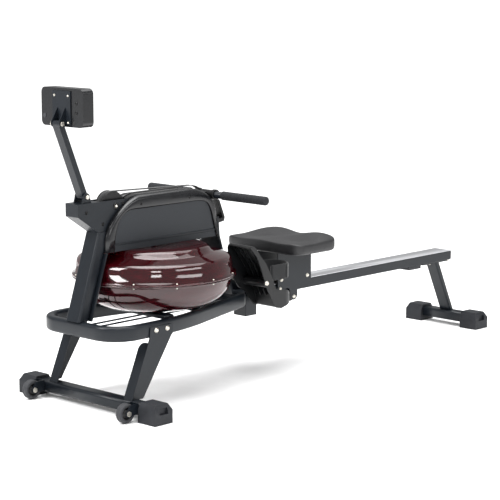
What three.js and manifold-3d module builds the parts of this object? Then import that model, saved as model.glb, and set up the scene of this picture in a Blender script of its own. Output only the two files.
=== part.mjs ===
// A folding-console water rowing machine: a leaning post and a hooped cover stand on a looped tube tray
// over a two-part water tank, and a seat rolls on a straight rail behind it.
// Millimetres. +X runs from the post to the rear foot, +Y to the left of a seated rower, +Z up.
// Inside `machine`, x is measured from the front face of the front feet; the exported group is centred.
import * as THREE from "three";
import { mergeVertices } from "three/addons/utils/BufferGeometryUtils.js";
import Module from "manifold-3d";

const wasm = await Module();
wasm.setup();

// ---- driving dimensions -------------------------------------------------------------------------
const GAP = 0.3; // clearance kept between pieces that touch
const RUN = 0.5; // running clearance between pieces that turn or slide

const FRONT_SPAN = 620; // across the front feet
const REAR_SPAN = 326; // across the rear feet
const WHEELBASE = 1753; // front face of the front feet to front face of the rear feet
const FOOT = { depth: 72, height: 60, length: 73, shoulder: 40, topInset: 12, endInset: 10, socket: 50 };
const CROSS_TUBE = { depth: 50, height: 36, radius: 10, wall: 2, bottom: 16 };

const TRAY = { front: -40, halfWidth: 185, corner: 95, height: 46, bottom: 229, tube: 28, wall: 2.5 };
const TRAY_FLARE = { start: 120, radius: 800 }; // where the sides start to close in, and how gently
const TRAY_REAR = { centre: 612, radius: 64 };
const TRAY_TOP = TRAY.bottom + TRAY.height;
const TIE_ROD = { radius: 3, spacing: 40, height: TRAY.bottom + 21 };
const CROSSBAR = { width: 40, thickness: 12 };
const CROSSBAR_X = [212, 362];
const DRAIN = 4; // radius of the holes that drain the loop

const LEG = {
  sheet: 3,
  web: 37,
  footX: 22,
  footWidth: 46,
  rise: 74,
  topWidth: 90,
  flange: 34,
  webDrop: 12,
  round: 22,
};
const WHEEL = { radius: 29.5, width: 22, hub: 19, x: -29, y: 214, z: 30, bore: 5 };
const WHEEL_BRACKET = { sheet: 3, gap: 26 };

const POST = { width: 62, depth: 38, radius: 8, wall: 2.5, leanDeg: 18.1, frontAtTray: -44 };
const POST_BACK = { width: 86, sheet: 4, top: 472 }; // the plate welded behind the post
const HEAD = { halfWidth: 28, sheet: 3, front: -38, top: 629, chin: 590, neck: 537, lid: 52, rear: 163 };
const PULLEY = { x: 112, z: 610, radius: 45, groove: 41, width: 30, bore: 6, flange: 3 };
const STRAP = { width: 22, thickness: 2 };

const SHROUD = { halfWidth: 46, wall: 3, bottom: 474, crest: 637, front: 58, rear: 535 };
const STRUT = { width: 84, thickness: 8, footX: 600, overlap: 62 };
const BRIDGE = { thickness: 8, z: 492 };

const TANK = { x: 293.5, floor: 280, flange: 255, join: 381, wall: 4, bore: 15 };
const WATER_LEVEL = 372;
const IMPELLER = { shaft: 8, blade: 165, bladeHeight: 44, thickness: 5, bottom: 305, hub: 24, blades: 4 };
const DRUM = { radius: 40, core: 26, height: 34, flange: 3, z: 567 };

const RAIL = { halfWidth: 37, bottom: 248, top: 282, front: 729, rear: 1762, wall: 2.5, cover: 2 };
const BLOCK = { front: 676.5, length: 52, halfWidth: 28, bottom: 189, top: 263, wall: 3 };
const PEDAL_BRACKET = { sheet: 4, top: 345, rear: 800 };
const PEDAL_AXLE = { x: 642, z: 320, radius: 8 };
const PEDAL = { inner: 55, width: 100, wall: 4, skin: 6, heel: 238 };
const FOOT_STRAP = { bottom: 324, height: 50, rear: 772, thickness: 3 };

const REAR_LEG = { width: 50, thickness: 20, radius: 6, wall: 2.5, leanDeg: 25.8, frontAtTop: 1688 };
const REAR_PLATE = { front: 1606, rear: 1751, halfWidth: 30, thickness: 5.5 };
const STOP = { front: 1532, length: 68, halfWidth: 26, depth: 15 };

const CARRIAGE = { front: 812, rear: 976, halfWidth: 46, sheet: 3, top: 387, waist: 262, lobe: 218 };
const TOP_ROLLER = { radius: 11, x: [829, 957], axle: 5 };
const LOW_ROLLER = { radius: 18, x: 891, axle: 5 };
const SEAT = { front: 784, length: 198, halfWidth: 168, thickness: 44, lobe: 28 };

const HANDLE = { x: 526, z: 606, bar: 11, grip: 14, halfLength: 263, gripLength: 190, collar: 17, yoke: 42 };
const REST = { halfWidth: 20, sheet: 6, bottom: 508, reach: 50, tip: 586 };

const STEM = { width: 30, depth: 19, eye: 11, baseX: 4, baseZ: 647, topX: -86, topZ: 870 };
const CLEVIS = { sheet: 5, length: 36 };
const CONSOLE = { back: -68, depth: 40, halfWidth: 93, bottom: 860, top: 973, radius: 16 };
const CONSOLE_MOUNT = { sheet: 3, reach: 29, width: 40 };
const SCREEN = { halfWidth: 66, height: 52, inset: 2 };
const BUTTON = { radius: 8, stand: 3 };

const FRONTMOST = CONSOLE.back - CONSOLE_MOUNT.reach;
const REARMOST = WHEELBASE + FOOT.depth;

// ---- materials ----------------------------------------------------------------------------------
const finish = (color, roughness, metalness) => new THREE.MeshStandardMaterial({ color, roughness, metalness });
const powderCoat = finish(0x2b2e33, 0.5, 0.3);
const mouldedBlack = finish(0x1b1c1e, 0.55, 0);
const footGrey = finish(0x3a3c40, 0.7, 0);
const rubber = finish(0x202020, 0.9, 0);
const foam = finish(0x2a2a2a, 0.95, 0);
const steel = finish(0xb9bbbe, 0.35, 1);
const clear = (color, roughness, opacity) =>
  new THREE.MeshStandardMaterial({ color, roughness, transparent: true, opacity });
const redClear = clear(0x7a1020, 0.1, 0.6);
const waterClear = clear(0x902030, 0, 0.4);
const webbing = finish(0x151515, 0.9, 0);
const glass = finish(0x202830, 0.1, 0);

// ---- solids -------------------------------------------------------------------------------------
const rad = THREE.MathUtils.degToRad;
const v2 = (x, y) => new THREE.Vector2(x, y);

// A closed three.js geometry as a manifold solid, and back again.
function solid(geometry) {
  const bare = geometry.index ? geometry.toNonIndexed() : geometry.clone();
  for (const name of Object.keys(bare.attributes)) if (name !== "position") bare.deleteAttribute(name);
  const merged = mergeVertices(bare, 1e-3);
  const made = new wasm.Manifold(
    new wasm.Mesh({
      numProp: 3,
      vertProperties: merged.attributes.position.array,
      triVerts: new Uint32Array(merged.index.array),
    }),
  );
  if (made.volume() > 0) return made;
  const turned = new Uint32Array(merged.index.array);
  for (let i = 0; i < turned.length; i += 3) [turned[i + 1], turned[i + 2]] = [turned[i + 2], turned[i + 1]];
  return new wasm.Manifold(
    new wasm.Mesh({ numProp: 3, vertProperties: merged.attributes.position.array, triVerts: turned }),
  );
}

function geometryOf(made) {
  const mesh = made.getMesh();
  const points = new Float32Array(mesh.numVert * 3);
  for (let i = 0; i < mesh.numVert; i++) {
    points.set(mesh.vertProperties.subarray(i * mesh.numProp, i * mesh.numProp + 3), i * 3);
  }
  const geometry = new THREE.BufferGeometry();
  geometry.setAttribute("position", new THREE.BufferAttribute(points, 3));
  geometry.setIndex(new THREE.BufferAttribute(mesh.triVerts, 1));
  return geometry;
}

// A box from its two corners.
function box(x0, y0, z0, x1, y1, z1) {
  const g = new THREE.BoxGeometry(x1 - x0, y1 - y0, z1 - z0);
  return solid(g.translate((x0 + x1) / 2, (y0 + y1) / 2, (z0 + z1) / 2));
}

// A cylinder along Y or Z, from one end to the other.
function rodY(radius, y0, y1, x = 0, z = 0, sides = 24) {
  const g = new THREE.CylinderGeometry(radius, radius, y1 - y0, sides);
  return solid(g.translate(x, (y0 + y1) / 2, z));
}

function rodZ(radius, z0, z1, x = 0, y = 0, sides = 24) {
  const g = new THREE.CylinderGeometry(radius, radius, z1 - z0, sides).rotateX(Math.PI / 2);
  return solid(g.translate(x, y, (z0 + z1) / 2));
}

// An outline in plan, raised along Z.
function extrudeZ(shape, z0, z1, curveSegments = 12) {
  const g = new THREE.ExtrudeGeometry(shape, { depth: z1 - z0, bevelEnabled: false, curveSegments });
  return solid(g.translate(0, 0, z0));
}

// A side-view outline drawn in (x, z), given width along Y.
function extrudeY(shape, y0, y1, curveSegments = 12) {
  const g = new THREE.ExtrudeGeometry(shape, { depth: y1 - y0, bevelEnabled: false, curveSegments });
  return solid(g.rotateX(Math.PI / 2).translate(0, y1, 0));
}

// An outline drawn in (y, z), given length along X.
function extrudeX(shape, x0, x1, curveSegments = 12) {
  const g = new THREE.ExtrudeGeometry(shape, { depth: x1 - x0, bevelEnabled: false, curveSegments });
  return solid(g.translate(0, 0, x0)).rotate([90, 0, 90]);
}

function roundedRect(width, height, radius) {
  const [w, h] = [width / 2, height / 2];
  const s = new THREE.Shape();
  s.moveTo(-w + radius, -h);
  s.lineTo(w - radius, -h);
  s.absarc(w - radius, -h + radius, radius, -Math.PI / 2, 0);
  s.absarc(w - radius, h - radius, radius, 0, Math.PI / 2);
  s.absarc(-w + radius, h - radius, radius, Math.PI / 2, Math.PI);
  s.absarc(-w + radius, -h + radius, radius, Math.PI, 1.5 * Math.PI);
  return s;
}

const polygon = (points) => new THREE.Shape(points.map(([x, y]) => v2(x, y)));

// A profile of (radius, height) turned about Z.
function turned(points, segments = 48) {
  return solid(new THREE.LatheGeometry(points.map(([r, z]) => v2(r, z)), segments).rotateX(Math.PI / 2));
}

// The same, turned about Y.
const turnedY = (points, segments = 32) => turned(points, segments).rotate([90, 0, 0]);

// A straight hollow tube standing on Z, centred on the origin.
function tube(width, depth, radius, wall, length) {
  const outer = extrudeZ(roundedRect(width, depth, radius), 0, length, 4);
  const inner = extrudeZ(roundedRect(width - 2 * wall, depth - 2 * wall, radius - wall), -1, length + 1, 4);
  return outer.subtract(inner);
}

// ---- assembly -----------------------------------------------------------------------------------
const part = new THREE.Group();
const machine = new THREE.Group();
machine.position.x = -(FRONTMOST + REARMOST) / 2;
part.add(machine);

function piece(name, made, material, place = {}) {
  const mesh = new THREE.Mesh(geometryOf(made), material);
  mesh.name = name;
  mesh.position.set(place.x ?? 0, place.y ?? 0, place.z ?? 0);
  mesh.rotation.set(0, place.pitch ?? 0, place.yaw ?? 0);
  (place.parent ?? machine).add(mesh);
  return mesh;
}

const sides = [
  ["left", 1],
  ["right", -1],
];

// Foot caps and cross tubes: each cap is a sleeve over the tube's end, chamfered above and recessed outside.
function footCap() {
  const half = FOOT.depth / 2;
  const profile = polygon([
    [-half, 0],
    [half, 0],
    [half, FOOT.shoulder],
    [half - FOOT.topInset, FOOT.height],
    [-half + FOOT.topInset, FOOT.height],
    [-half, FOOT.shoulder],
  ]);
  const block = extrudeY(profile, 0, FOOT.length);
  const slope = polygon([
    [FOOT.length, FOOT.shoulder],
    [FOOT.length + 1, FOOT.shoulder],
    [FOOT.length + 1, FOOT.height + 1],
    [FOOT.length - FOOT.endInset, FOOT.height + 1],
  ]);
  const wedge = extrudeY(slope, -half - 1, half + 1).rotate([0, 0, 90]);
  const recess = box(-17, FOOT.length - 9, 30, 17, FOOT.length + 1, 49);
  const { depth, height, radius, bottom } = CROSS_TUBE;
  const socket = extrudeY(roundedRect(depth + 2 * GAP, height + 2 * GAP, radius + GAP), -1, FOOT.socket, 4);
  return block.subtract(wedge).subtract(recess).subtract(socket.translate([0, 0, bottom + height / 2]));
}

const footShape = footCap();
function crossTube(name, span, x) {
  const length = span - 2 * (FOOT.length - FOOT.socket) - 2 * GAP;
  const { depth, height, radius, wall, bottom } = CROSS_TUBE;
  const bar = tube(depth, height, radius, wall, length).translate([0, 0, -length / 2]).rotate([90, 0, 0]);
  piece(name + "_cross_tube", bar, powderCoat, { x, z: bottom + height / 2 });
  for (const [side, sign] of sides) {
    const at = sign * (span / 2 - FOOT.length);
    piece(name + "_foot_cap_" + side, footShape, footGrey, { x, y: at, yaw: sign > 0 ? 0 : Math.PI });
  }
}
const FRONT_X = FOOT.depth / 2;
const REAR_X = WHEELBASE + FOOT.depth / 2;
crossTube("front", FRONT_SPAN, FRONT_X);
crossTube("rear", REAR_SPAN, REAR_X);
const TUBE_TOP = CROSS_TUBE.bottom + CROSS_TUBE.height;

// Tray: one loop of rectangular tube, wide at the front and closing to a round nose at the rear.
function trayOutline(inset) {
  const { front, halfWidth, corner } = TRAY;
  const s = new THREE.Shape();
  const side = v2(TRAY_FLARE.start, halfWidth - TRAY_FLARE.radius);
  const nose = v2(TRAY_REAR.centre, 0);
  const run = nose.clone().sub(side);
  const tangent = run.angle() + Math.acos((TRAY_FLARE.radius - TRAY_REAR.radius) / run.length());
  const [rc, rf, rn] = [corner - inset, TRAY_FLARE.radius - inset, TRAY_REAR.radius - inset];
  s.moveTo(front + inset, -(halfWidth - corner));
  s.absarc(front + corner, -(halfWidth - corner), rc, Math.PI, 1.5 * Math.PI);
  s.absarc(side.x, -side.y, rf, 1.5 * Math.PI, 2 * Math.PI - tangent);
  s.absarc(nose.x, 0, rn, -tangent, tangent);
  s.absarc(side.x, side.y, rf, tangent, Math.PI / 2);
  s.absarc(front + corner, halfWidth - corner, rc, Math.PI / 2, Math.PI);
  return s;
}

function traySlab(outer, inner, z0, z1) {
  const shape = trayOutline(outer);
  shape.holes.push(trayOutline(inner));
  return extrudeZ(shape, z0, z1, 10);
}

// Where the tray nose's wall, inset by a given amount, crosses a line at height y in plan.
function trayNoseX(y, inset) {
  return TRAY_REAR.centre + Math.sqrt((TRAY_REAR.radius - inset) ** 2 - y ** 2);
}

// Half the width of the loop's side, inset by a given amount, at a given x.
function trayHalf(x, inset) {
  const radius = TRAY_FLARE.radius - inset;
  const past = Math.max(0, x - TRAY_FLARE.start);
  return TRAY.halfWidth - TRAY_FLARE.radius + Math.sqrt(radius ** 2 - past ** 2);
}

// The loop with drain holes below, two crossbars under the tank and two thin tie rods, all welded in.
function tray() {
  const { front, bottom, tube: width, wall } = TRAY;
  const skin = traySlab(0, width, bottom, TRAY_TOP);
  const hollow = traySlab(wall, width - wall, bottom + wall, TRAY_TOP - wall);
  let made = skin.subtract(hollow);
  for (const [, sign] of sides) {
    const y = (sign * TIE_ROD.spacing) / 2;
    const x0 = front + width - wall / 2;
    const x1 = trayNoseX(y, width - wall / 2);
    const rod = rodZ(TIE_ROD.radius, 0, x1 - x0, 0, 0, 12).rotate([0, 90, 0]);
    made = made.add(rod.translate([x0, y, TIE_ROD.height]));
    const drainY = sign * (TRAY.halfWidth - width / 2);
    made = made.subtract(rodZ(DRAIN, bottom - 1, bottom + wall + 1, TRAY_FLARE.start, drainY, 12));
  }
  for (const x of CROSSBAR_X) {
    const reach = trayHalf(x + CROSSBAR.width / 2, width) + wall / 2;
    const [x0, x1] = [x - CROSSBAR.width / 2, x + CROSSBAR.width / 2];
    const top = TANK.floor - GAP;
    made = made.add(box(x0, -reach, top - CROSSBAR.thickness, x1, reach, top));
  }
  return made;
}
piece("tray", tray(), powderCoat);

// Front legs: bent sheet, an outer plate bolted to the tray's side and a web facing forward.
for (const [side, sign] of sides) {
  const { sheet, web, footX, footWidth, rise, topWidth, flange, webDrop } = LEG;
  const bottom = TUBE_TOP + GAP;
  const shoulder = TRAY.bottom - 1;
  const plate = polygon([
    [footX, bottom],
    [footX + footWidth, bottom],
    [footX + rise + topWidth, shoulder],
    [footX + rise + topWidth + 6, shoulder + 4],
    [footX + rise + topWidth + 6, shoulder + flange],
    [footX + rise + 4, shoulder + flange],
    [footX + rise, shoulder],
  ]);
  const webTop = shoulder - webDrop;
  const slope = rise / (shoulder - bottom);
  const topX = footX + slope * (webTop - bottom);
  const strip = polygon([
    [footX, bottom],
    [footX + sheet, bottom],
    [topX + sheet, webTop],
    [topX, webTop],
  ]);
  const [a, b] = [TRAY.halfWidth + GAP, TRAY.halfWidth + GAP + sheet];
  const outline = new THREE.Shape();
  outline.moveTo(b - web, bottom);
  outline.lineTo(b, bottom);
  outline.lineTo(b, webTop);
  outline.lineTo(b - web + LEG.round, webTop);
  outline.absarc(b - web + LEG.round, webTop - LEG.round, LEG.round, Math.PI / 2, Math.PI);
  const rounding = extrudeX(outline, footX - 1, topX + sheet + 1);
  const made = extrudeY(plate, a, b).add(extrudeY(strip, b - web, b).intersect(rounding));
  piece("front_leg_" + side, sign > 0 ? made : made.mirror([0, 1, 0]), powderCoat);
}

// Transport wheels on two-armed brackets ahead of the front tube.
for (const [side, sign] of sides) {
  const { sheet, gap } = WHEEL_BRACKET;
  const tubeFront = FRONT_X - CROSS_TUBE.depth / 2 - GAP;
  const top = TUBE_TOP + 3;
  const arm = new THREE.Shape();
  arm.moveTo(tubeFront, CROSS_TUBE.bottom + 8);
  arm.lineTo(tubeFront, top);
  arm.lineTo(WHEEL.x + 8, top);
  arm.lineTo(WHEEL.x - 11, WHEEL.z + 4);
  arm.absarc(WHEEL.x, WHEEL.z, 11, Math.PI * 0.9, Math.PI * 1.6);
  const plates = [-1, 1].map((s) => {
    const y = s * (gap / 2);
    return extrudeY(arm, Math.min(y, y + s * sheet), Math.max(y, y + s * sheet));
  });
  const back = box(tubeFront - sheet, -gap / 2 - sheet, CROSS_TUBE.bottom + 8, tubeFront, gap / 2 + sheet, top);
  const axleHole = rodY(WHEEL.bore + GAP, -gap, gap, WHEEL.x, WHEEL.z);
  const y = sign * WHEEL.y;
  piece("wheel_bracket_" + side, plates[0].add(plates[1]).add(back).subtract(axleHole), powderCoat, { y });
  const reach = gap / 2 + sheet + 4;
  const head = rodY(WHEEL.bore + 3.5, gap / 2 + sheet + GAP, reach, 0, 0, 6);
  const tail = rodY(WHEEL.bore + 3.5, -reach, -gap / 2 - sheet - GAP, 0, 0, 6);
  const axle = rodY(WHEEL.bore, -reach, reach).add(head).add(tail);
  piece("wheel_axle_" + side, axle, steel, { x: WHEEL.x, y, z: WHEEL.z });
  const h = WHEEL.width / 2;
  const wheel = turnedY([
    [WHEEL.bore + RUN, -h],
    [WHEEL.hub, -h],
    [WHEEL.hub + 2, -h + 3],
    [WHEEL.radius - 4, -h + 1],
    [WHEEL.radius, -h + 5],
    [WHEEL.radius, h - 5],
    [WHEEL.radius - 4, h - 1],
    [WHEEL.hub + 2, h - 3],
    [WHEEL.hub, h],
    [WHEEL.bore + RUN, h],
    [WHEEL.bore + RUN, -h],
  ]);
  piece("transport_wheel_" + side, wheel, rubber, { x: WHEEL.x, y, z: WHEEL.z });
}

// Post: a rounded rectangular tube standing on the tray's front run, leaning rearward.
const postLean = Math.tan(rad(POST.leanDeg));
const postSlice = POST.depth / Math.cos(rad(POST.leanDeg)); // its depth cut level
const postTop = HEAD.neck - GAP;
const postFront = (z) => POST.frontAtTray + (z - TRAY_TOP) * postLean;
const postBar = tube(POST.depth, POST.width, POST.radius, POST.wall, 2 * (postTop - TRAY_TOP))
  .translate([0, 0, -(postTop - TRAY_TOP) / 2])
  .rotate([0, POST.leanDeg, 0])
  .translate([POST.frontAtTray + postSlice / 2, 0, TRAY_TOP]);
const postRange = box(-300, -POST.width, TRAY_TOP + GAP, 400, POST.width, postTop);
const backPlate = polygon([
  [postFront(TRAY_TOP + GAP) + postSlice - 1, TRAY_TOP + GAP],
  [postFront(TRAY_TOP + GAP) + postSlice + POST_BACK.sheet, TRAY_TOP + GAP],
  [postFront(POST_BACK.top) + postSlice + POST_BACK.sheet, POST_BACK.top],
  [postFront(POST_BACK.top) + postSlice - 1, POST_BACK.top],
]);
const postTube = postBar.intersect(postRange);
piece("post", postTube.add(extrudeY(backPlate, -POST_BACK.width / 2, POST_BACK.width / 2)), powderCoat);

// Head: a folded steel shell on the post's top that carries the guide pulley and the console's clevis.
function headOutline(inset) {
  const { front, top, chin, neck, rear } = HEAD;
  const neckFront = postFront(neck);
  const neckRear = neckFront + postSlice + 2;
  return polygon([
    [front + inset, top - inset],
    [front + inset, chin + inset * 0.6],
    [neckFront + inset, neck + inset],
    [neckRear - inset * 0.5, neck + inset],
    [PULLEY.x - 6 - inset * 0.5, (neck + PULLEY.z) / 2 - 6],
    [rear - inset, PULLEY.z + 4],
    [rear - inset, top - inset],
  ]);
}

function headShell() {
  const { halfWidth, sheet, top, lid, rear } = HEAD;
  const inner = halfWidth - sheet;
  const shell = extrudeY(headOutline(0), -halfWidth, halfWidth).subtract(extrudeY(headOutline(sheet), -inner, inner));
  const mouth = box(lid, -inner, PULLEY.z - 80, rear + 1, inner, top + 1); // for the pulley and the strap
  const axleHole = rodY(PULLEY.bore + GAP, -halfWidth - 1, halfWidth + 1, PULLEY.x, PULLEY.z);
  const ears = [-1, 1].map((s) => {
    const y0 = s > 0 ? STEM.width / 2 + RUN : -STEM.width / 2 - RUN - CLEVIS.sheet;
    const ear = new THREE.Shape();
    ear.moveTo(STEM.baseX - CLEVIS.length / 2, top - 1);
    ear.lineTo(STEM.baseX + CLEVIS.length / 2, top - 1);
    ear.absarc(STEM.baseX, STEM.baseZ, STEM.eye + 1, 0, Math.PI);
    return extrudeY(ear, y0, y0 + CLEVIS.sheet);
  });
  const pinHole = rodY(4 + GAP, -halfWidth, halfWidth, STEM.baseX, STEM.baseZ);
  return shell.subtract(mouth).subtract(axleHole).add(ears[0]).add(ears[1]).subtract(pinHole);
}
piece("head_shell", headShell(), powderCoat);

const axleReach = HEAD.halfWidth + 5;
const pulleyAxle = rodY(PULLEY.bore, -axleReach, axleReach)
  .add(rodY(PULLEY.bore + 4, HEAD.halfWidth + GAP, axleReach, 0, 0, 6))
  .add(rodY(PULLEY.bore + 4, -axleReach, -HEAD.halfWidth - GAP, 0, 0, 6));
piece("pulley_axle", pulleyAxle, steel, { x: PULLEY.x, z: PULLEY.z });

const ph = PULLEY.width / 2;
const pulley = turnedY([
  [PULLEY.bore + RUN, -ph],
  [PULLEY.radius, -ph],
  [PULLEY.radius, -ph + PULLEY.flange],
  [PULLEY.groove, -ph + PULLEY.flange],
  [PULLEY.groove, ph - PULLEY.flange],
  [PULLEY.radius, ph - PULLEY.flange],
  [PULLEY.radius, ph],
  [PULLEY.bore + RUN, ph],
  [PULLEY.bore + RUN, -ph],
]);
piece("guide_pulley", pulley, mouldedBlack, { x: PULLEY.x, z: PULLEY.z });

// Cover: two moulded halves that meet on the centre plane, hooped over the drive.
function coverOutline(inset) {
  const { front, rear, bottom, crest } = SHROUD;
  const s = new THREE.Shape();
  s.moveTo(front + inset, bottom - 1);
  s.lineTo(front + 4 + inset, bottom + 40);
  s.bezierCurveTo(front + 8 + inset, bottom + 82, front + 70 + inset, crest - 15 - inset, front + 142, crest - inset);
  s.lineTo(rear - 140, crest - inset);
  s.bezierCurveTo(rear - 52, crest - inset, rear - 16 - inset, bottom + 124, rear - 8 - inset, bottom + 86);
  s.lineTo(rear - inset, bottom - 1);
  return s;
}

// The cover's rear face at a given height.
const coverRear = (z) => SHROUD.rear - (8 * (z - SHROUD.bottom + 1)) / (561 - SHROUD.bottom);

for (const [side, sign] of sides) {
  const { halfWidth, wall, bottom, crest } = SHROUD;
  const skin = extrudeY(coverOutline(0), GAP / 2, halfWidth, 8);
  const hollow = extrudeY(coverOutline(wall), -1, halfWidth - wall, 8);
  const below = box(-100, -1, bottom - 40, 900, halfWidth + 1, bottom);
  const headRoom = box(-100, -1, bottom - 40, HEAD.rear + RUN, HEAD.halfWidth + RUN + 6, crest + 1);
  const made = skin.subtract(hollow).subtract(below).subtract(headRoom);
  piece("cover_" + side, sign > 0 ? made : made.mirror([0, 1, 0]), mouldedBlack);
}

// Rear strut: a wide flat bar from the cover's rear end down to the tray's nose.
const strutTop = SHROUD.bottom + STRUT.overlap;
const strutShape = polygon([
  [coverRear(strutTop) + RUN, strutTop],
  [coverRear(SHROUD.bottom) + RUN, SHROUD.bottom],
  [STRUT.footX, TRAY_TOP + GAP],
  [STRUT.footX + STRUT.thickness, TRAY_TOP + GAP],
  [coverRear(SHROUD.bottom) + RUN + STRUT.thickness, SHROUD.bottom],
  [coverRear(strutTop) + RUN + STRUT.thickness, strutTop],
]);
piece("rear_strut", extrudeY(strutShape, -STRUT.width / 2, STRUT.width / 2), powderCoat);

// Bridge: the bar under the cover that holds the drive shaft's top bearing over the tank.
const bridgeFront = postFront(BRIDGE.z + BRIDGE.thickness) + postSlice + GAP;
const bridgeHalf = SHROUD.halfWidth - SHROUD.wall - GAP;
const bridgeTop = BRIDGE.z + BRIDGE.thickness;
const bridgeRear = coverRear(bridgeTop) - SHROUD.wall - GAP;
const bridge = box(bridgeFront, -bridgeHalf, BRIDGE.z, bridgeRear, bridgeHalf, bridgeTop);
const shaftHole = rodZ(IMPELLER.shaft + RUN, 0, BRIDGE.z + 50, TANK.x);
piece("drive_bridge", bridge.subtract(shaftHole), powderCoat);

// Tank: two clear shells bolted at a flange, with a gasket between them.
const bowlOuter = [
  [0, 0],
  [115, 0],
  [150, 5],
  [178, 13],
  [200, 24],
  [219, 39],
  [232, 56],
  [241, 76],
  [243, 90],
];
const FLANGE = { thickness: 4, gasket: 1.4 };
const flangeZ = TANK.join - TANK.floor - FLANGE.gasket / 2 - GAP;
const tankRoof = SHROUD.bottom - GAP;
const domeHeight = tankRoof - TANK.join;

function inward(points, wall) {
  return points.map(([r, z], i) => {
    const [a, b] = [points[Math.max(0, i - 1)], points[Math.min(points.length - 1, i + 1)]];
    const t = v2(b[0] - a[0], b[1] - a[1]).normalize();
    return [Math.max(0, r - wall * t.y), z + wall * t.x];
  });
}

function lowerShell() {
  const rim = bowlOuter[bowlOuter.length - 1][0];
  const inner = inward(bowlOuter, TANK.wall).reverse();
  return turned([
    ...bowlOuter,
    [rim + 1, flangeZ - FLANGE.thickness],
    [TANK.flange, flangeZ - FLANGE.thickness],
    [TANK.flange, flangeZ],
    [rim - TANK.wall, flangeZ],
    ...inner,
  ]);
}
piece("tank_lower", lowerShell(), redClear, { x: TANK.x, z: TANK.floor });

const domeOuter = [
  [244, FLANGE.thickness + 4],
  [242, 40],
  [239, 50],
  [234, 56],
  [226, 60],
  [186, 70],
  [178, 74],
  [172, domeHeight - 9],
  [164, domeHeight - 3],
  [150, domeHeight],
  [TANK.bore, domeHeight],
];

function upperShell() {
  const base = FLANGE.gasket / 2 + GAP;
  return turned([
    [TANK.flange, base],
    [TANK.flange, base + FLANGE.thickness],
    ...domeOuter,
    ...inward(domeOuter, TANK.wall).reverse(),
    [domeOuter[0][0] - TANK.wall, base],
    [TANK.flange, base],
  ]);
}
const filler = { x: 0, y: 106, radius: 16 };
const fillHole = rodZ(filler.radius + GAP, 0, domeHeight + 10, filler.x, filler.y);
piece("tank_upper", upperShell().subtract(fillHole), redClear, { x: TANK.x, z: TANK.join });

const gasketHalf = FLANGE.gasket / 2;
const gasket = turned([
  [TANK.flange - 1, -gasketHalf],
  [TANK.flange - 1, gasketHalf],
  [TANK.flange - 9, gasketHalf],
  [TANK.flange - 9, -gasketHalf],
  [TANK.flange - 1, -gasketHalf],
]);
piece("tank_gasket", gasket, rubber, { x: TANK.x, z: TANK.join });

const plugBody = rodZ(filler.radius, -6, 1, 0, 0, 24).add(rodZ(filler.radius + 5, GAP, 7, 0, 0, 24));
piece("filler_plug", plugBody, rubber, { x: TANK.x + filler.x, y: filler.y, z: tankRoof });

// Water: fills the bowl to its level, with the impeller's swept space left out.
const waterTop = WATER_LEVEL - TANK.floor;
const bowlInner = inward(bowlOuter, TANK.wall + GAP).filter(([, z]) => z < waterTop);
const waterBody = turned([...bowlInner, [bowlInner[bowlInner.length - 1][0], waterTop], [0, waterTop]]);
const swept = rodZ(IMPELLER.blade + 6, IMPELLER.bottom - TANK.floor - 6, waterTop + 1, 0, 0, 48);
piece("water", waterBody.subtract(swept), waterClear, { x: TANK.x, z: TANK.floor });

// Impeller on the drive shaft, and the strap drum on the shaft's upper end.
let impeller = rodZ(IMPELLER.shaft, IMPELLER.bottom - 4, DRUM.z + DRUM.height / 2 + 6);
impeller = impeller.add(rodZ(IMPELLER.hub, IMPELLER.bottom, IMPELLER.bottom + IMPELLER.bladeHeight));
for (let i = 0; i < IMPELLER.blades; i++) {
  const { blade, thickness, bottom, bladeHeight } = IMPELLER;
  const paddle = box(0, -thickness / 2, bottom, blade, thickness / 2, bottom + bladeHeight);
  impeller = impeller.add(paddle.rotate([0, 0, 45 + (360 * i) / IMPELLER.blades]));
}
piece("impeller", impeller, mouldedBlack, { x: TANK.x });

const dh = DRUM.height / 2;
const drum = turned(
  [
    [IMPELLER.shaft + RUN, -dh],
    [DRUM.radius, -dh],
    [DRUM.radius, -dh + DRUM.flange],
    [DRUM.core, -dh + DRUM.flange],
    [DRUM.core, dh - DRUM.flange],
    [DRUM.radius, dh - DRUM.flange],
    [DRUM.radius, dh],
    [IMPELLER.shaft + RUN, dh],
    [IMPELLER.shaft + RUN, -dh],
  ],
  32,
);
piece("strap_drum", drum, mouldedBlack, { x: TANK.x, z: DRUM.z });

// Strap: from the drum, under and round the guide pulley, then back over the cover's crest.
const strapRadius = PULLEY.groove + RUN + STRAP.thickness / 2;
const crestX = 440;
const strapCrest = v2(crestX, SHROUD.crest + 3 + STRAP.thickness / 2);
function strapRun() {
  const half = STRAP.thickness / 2;
  const band = (offset) => {
    const points = [];
    const r = strapRadius + offset;
    points.push([TANK.x - DRUM.core - 20, PULLEY.z - strapRadius - offset]);
    for (let a = 0; a <= 12; a++) {
      const t = -Math.PI / 2 - (Math.PI * a) / 12;
      points.push([PULLEY.x + r * Math.cos(t), PULLEY.z + r * Math.sin(t)]);
    }
    points.push([strapCrest.x, strapCrest.y + offset]);
    return points;
  };
  return extrudeY(polygon([...band(half), ...band(-half).reverse()]), -STRAP.width / 2, STRAP.width / 2);
}
piece("strap_run", strapRun(), webbing);

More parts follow.
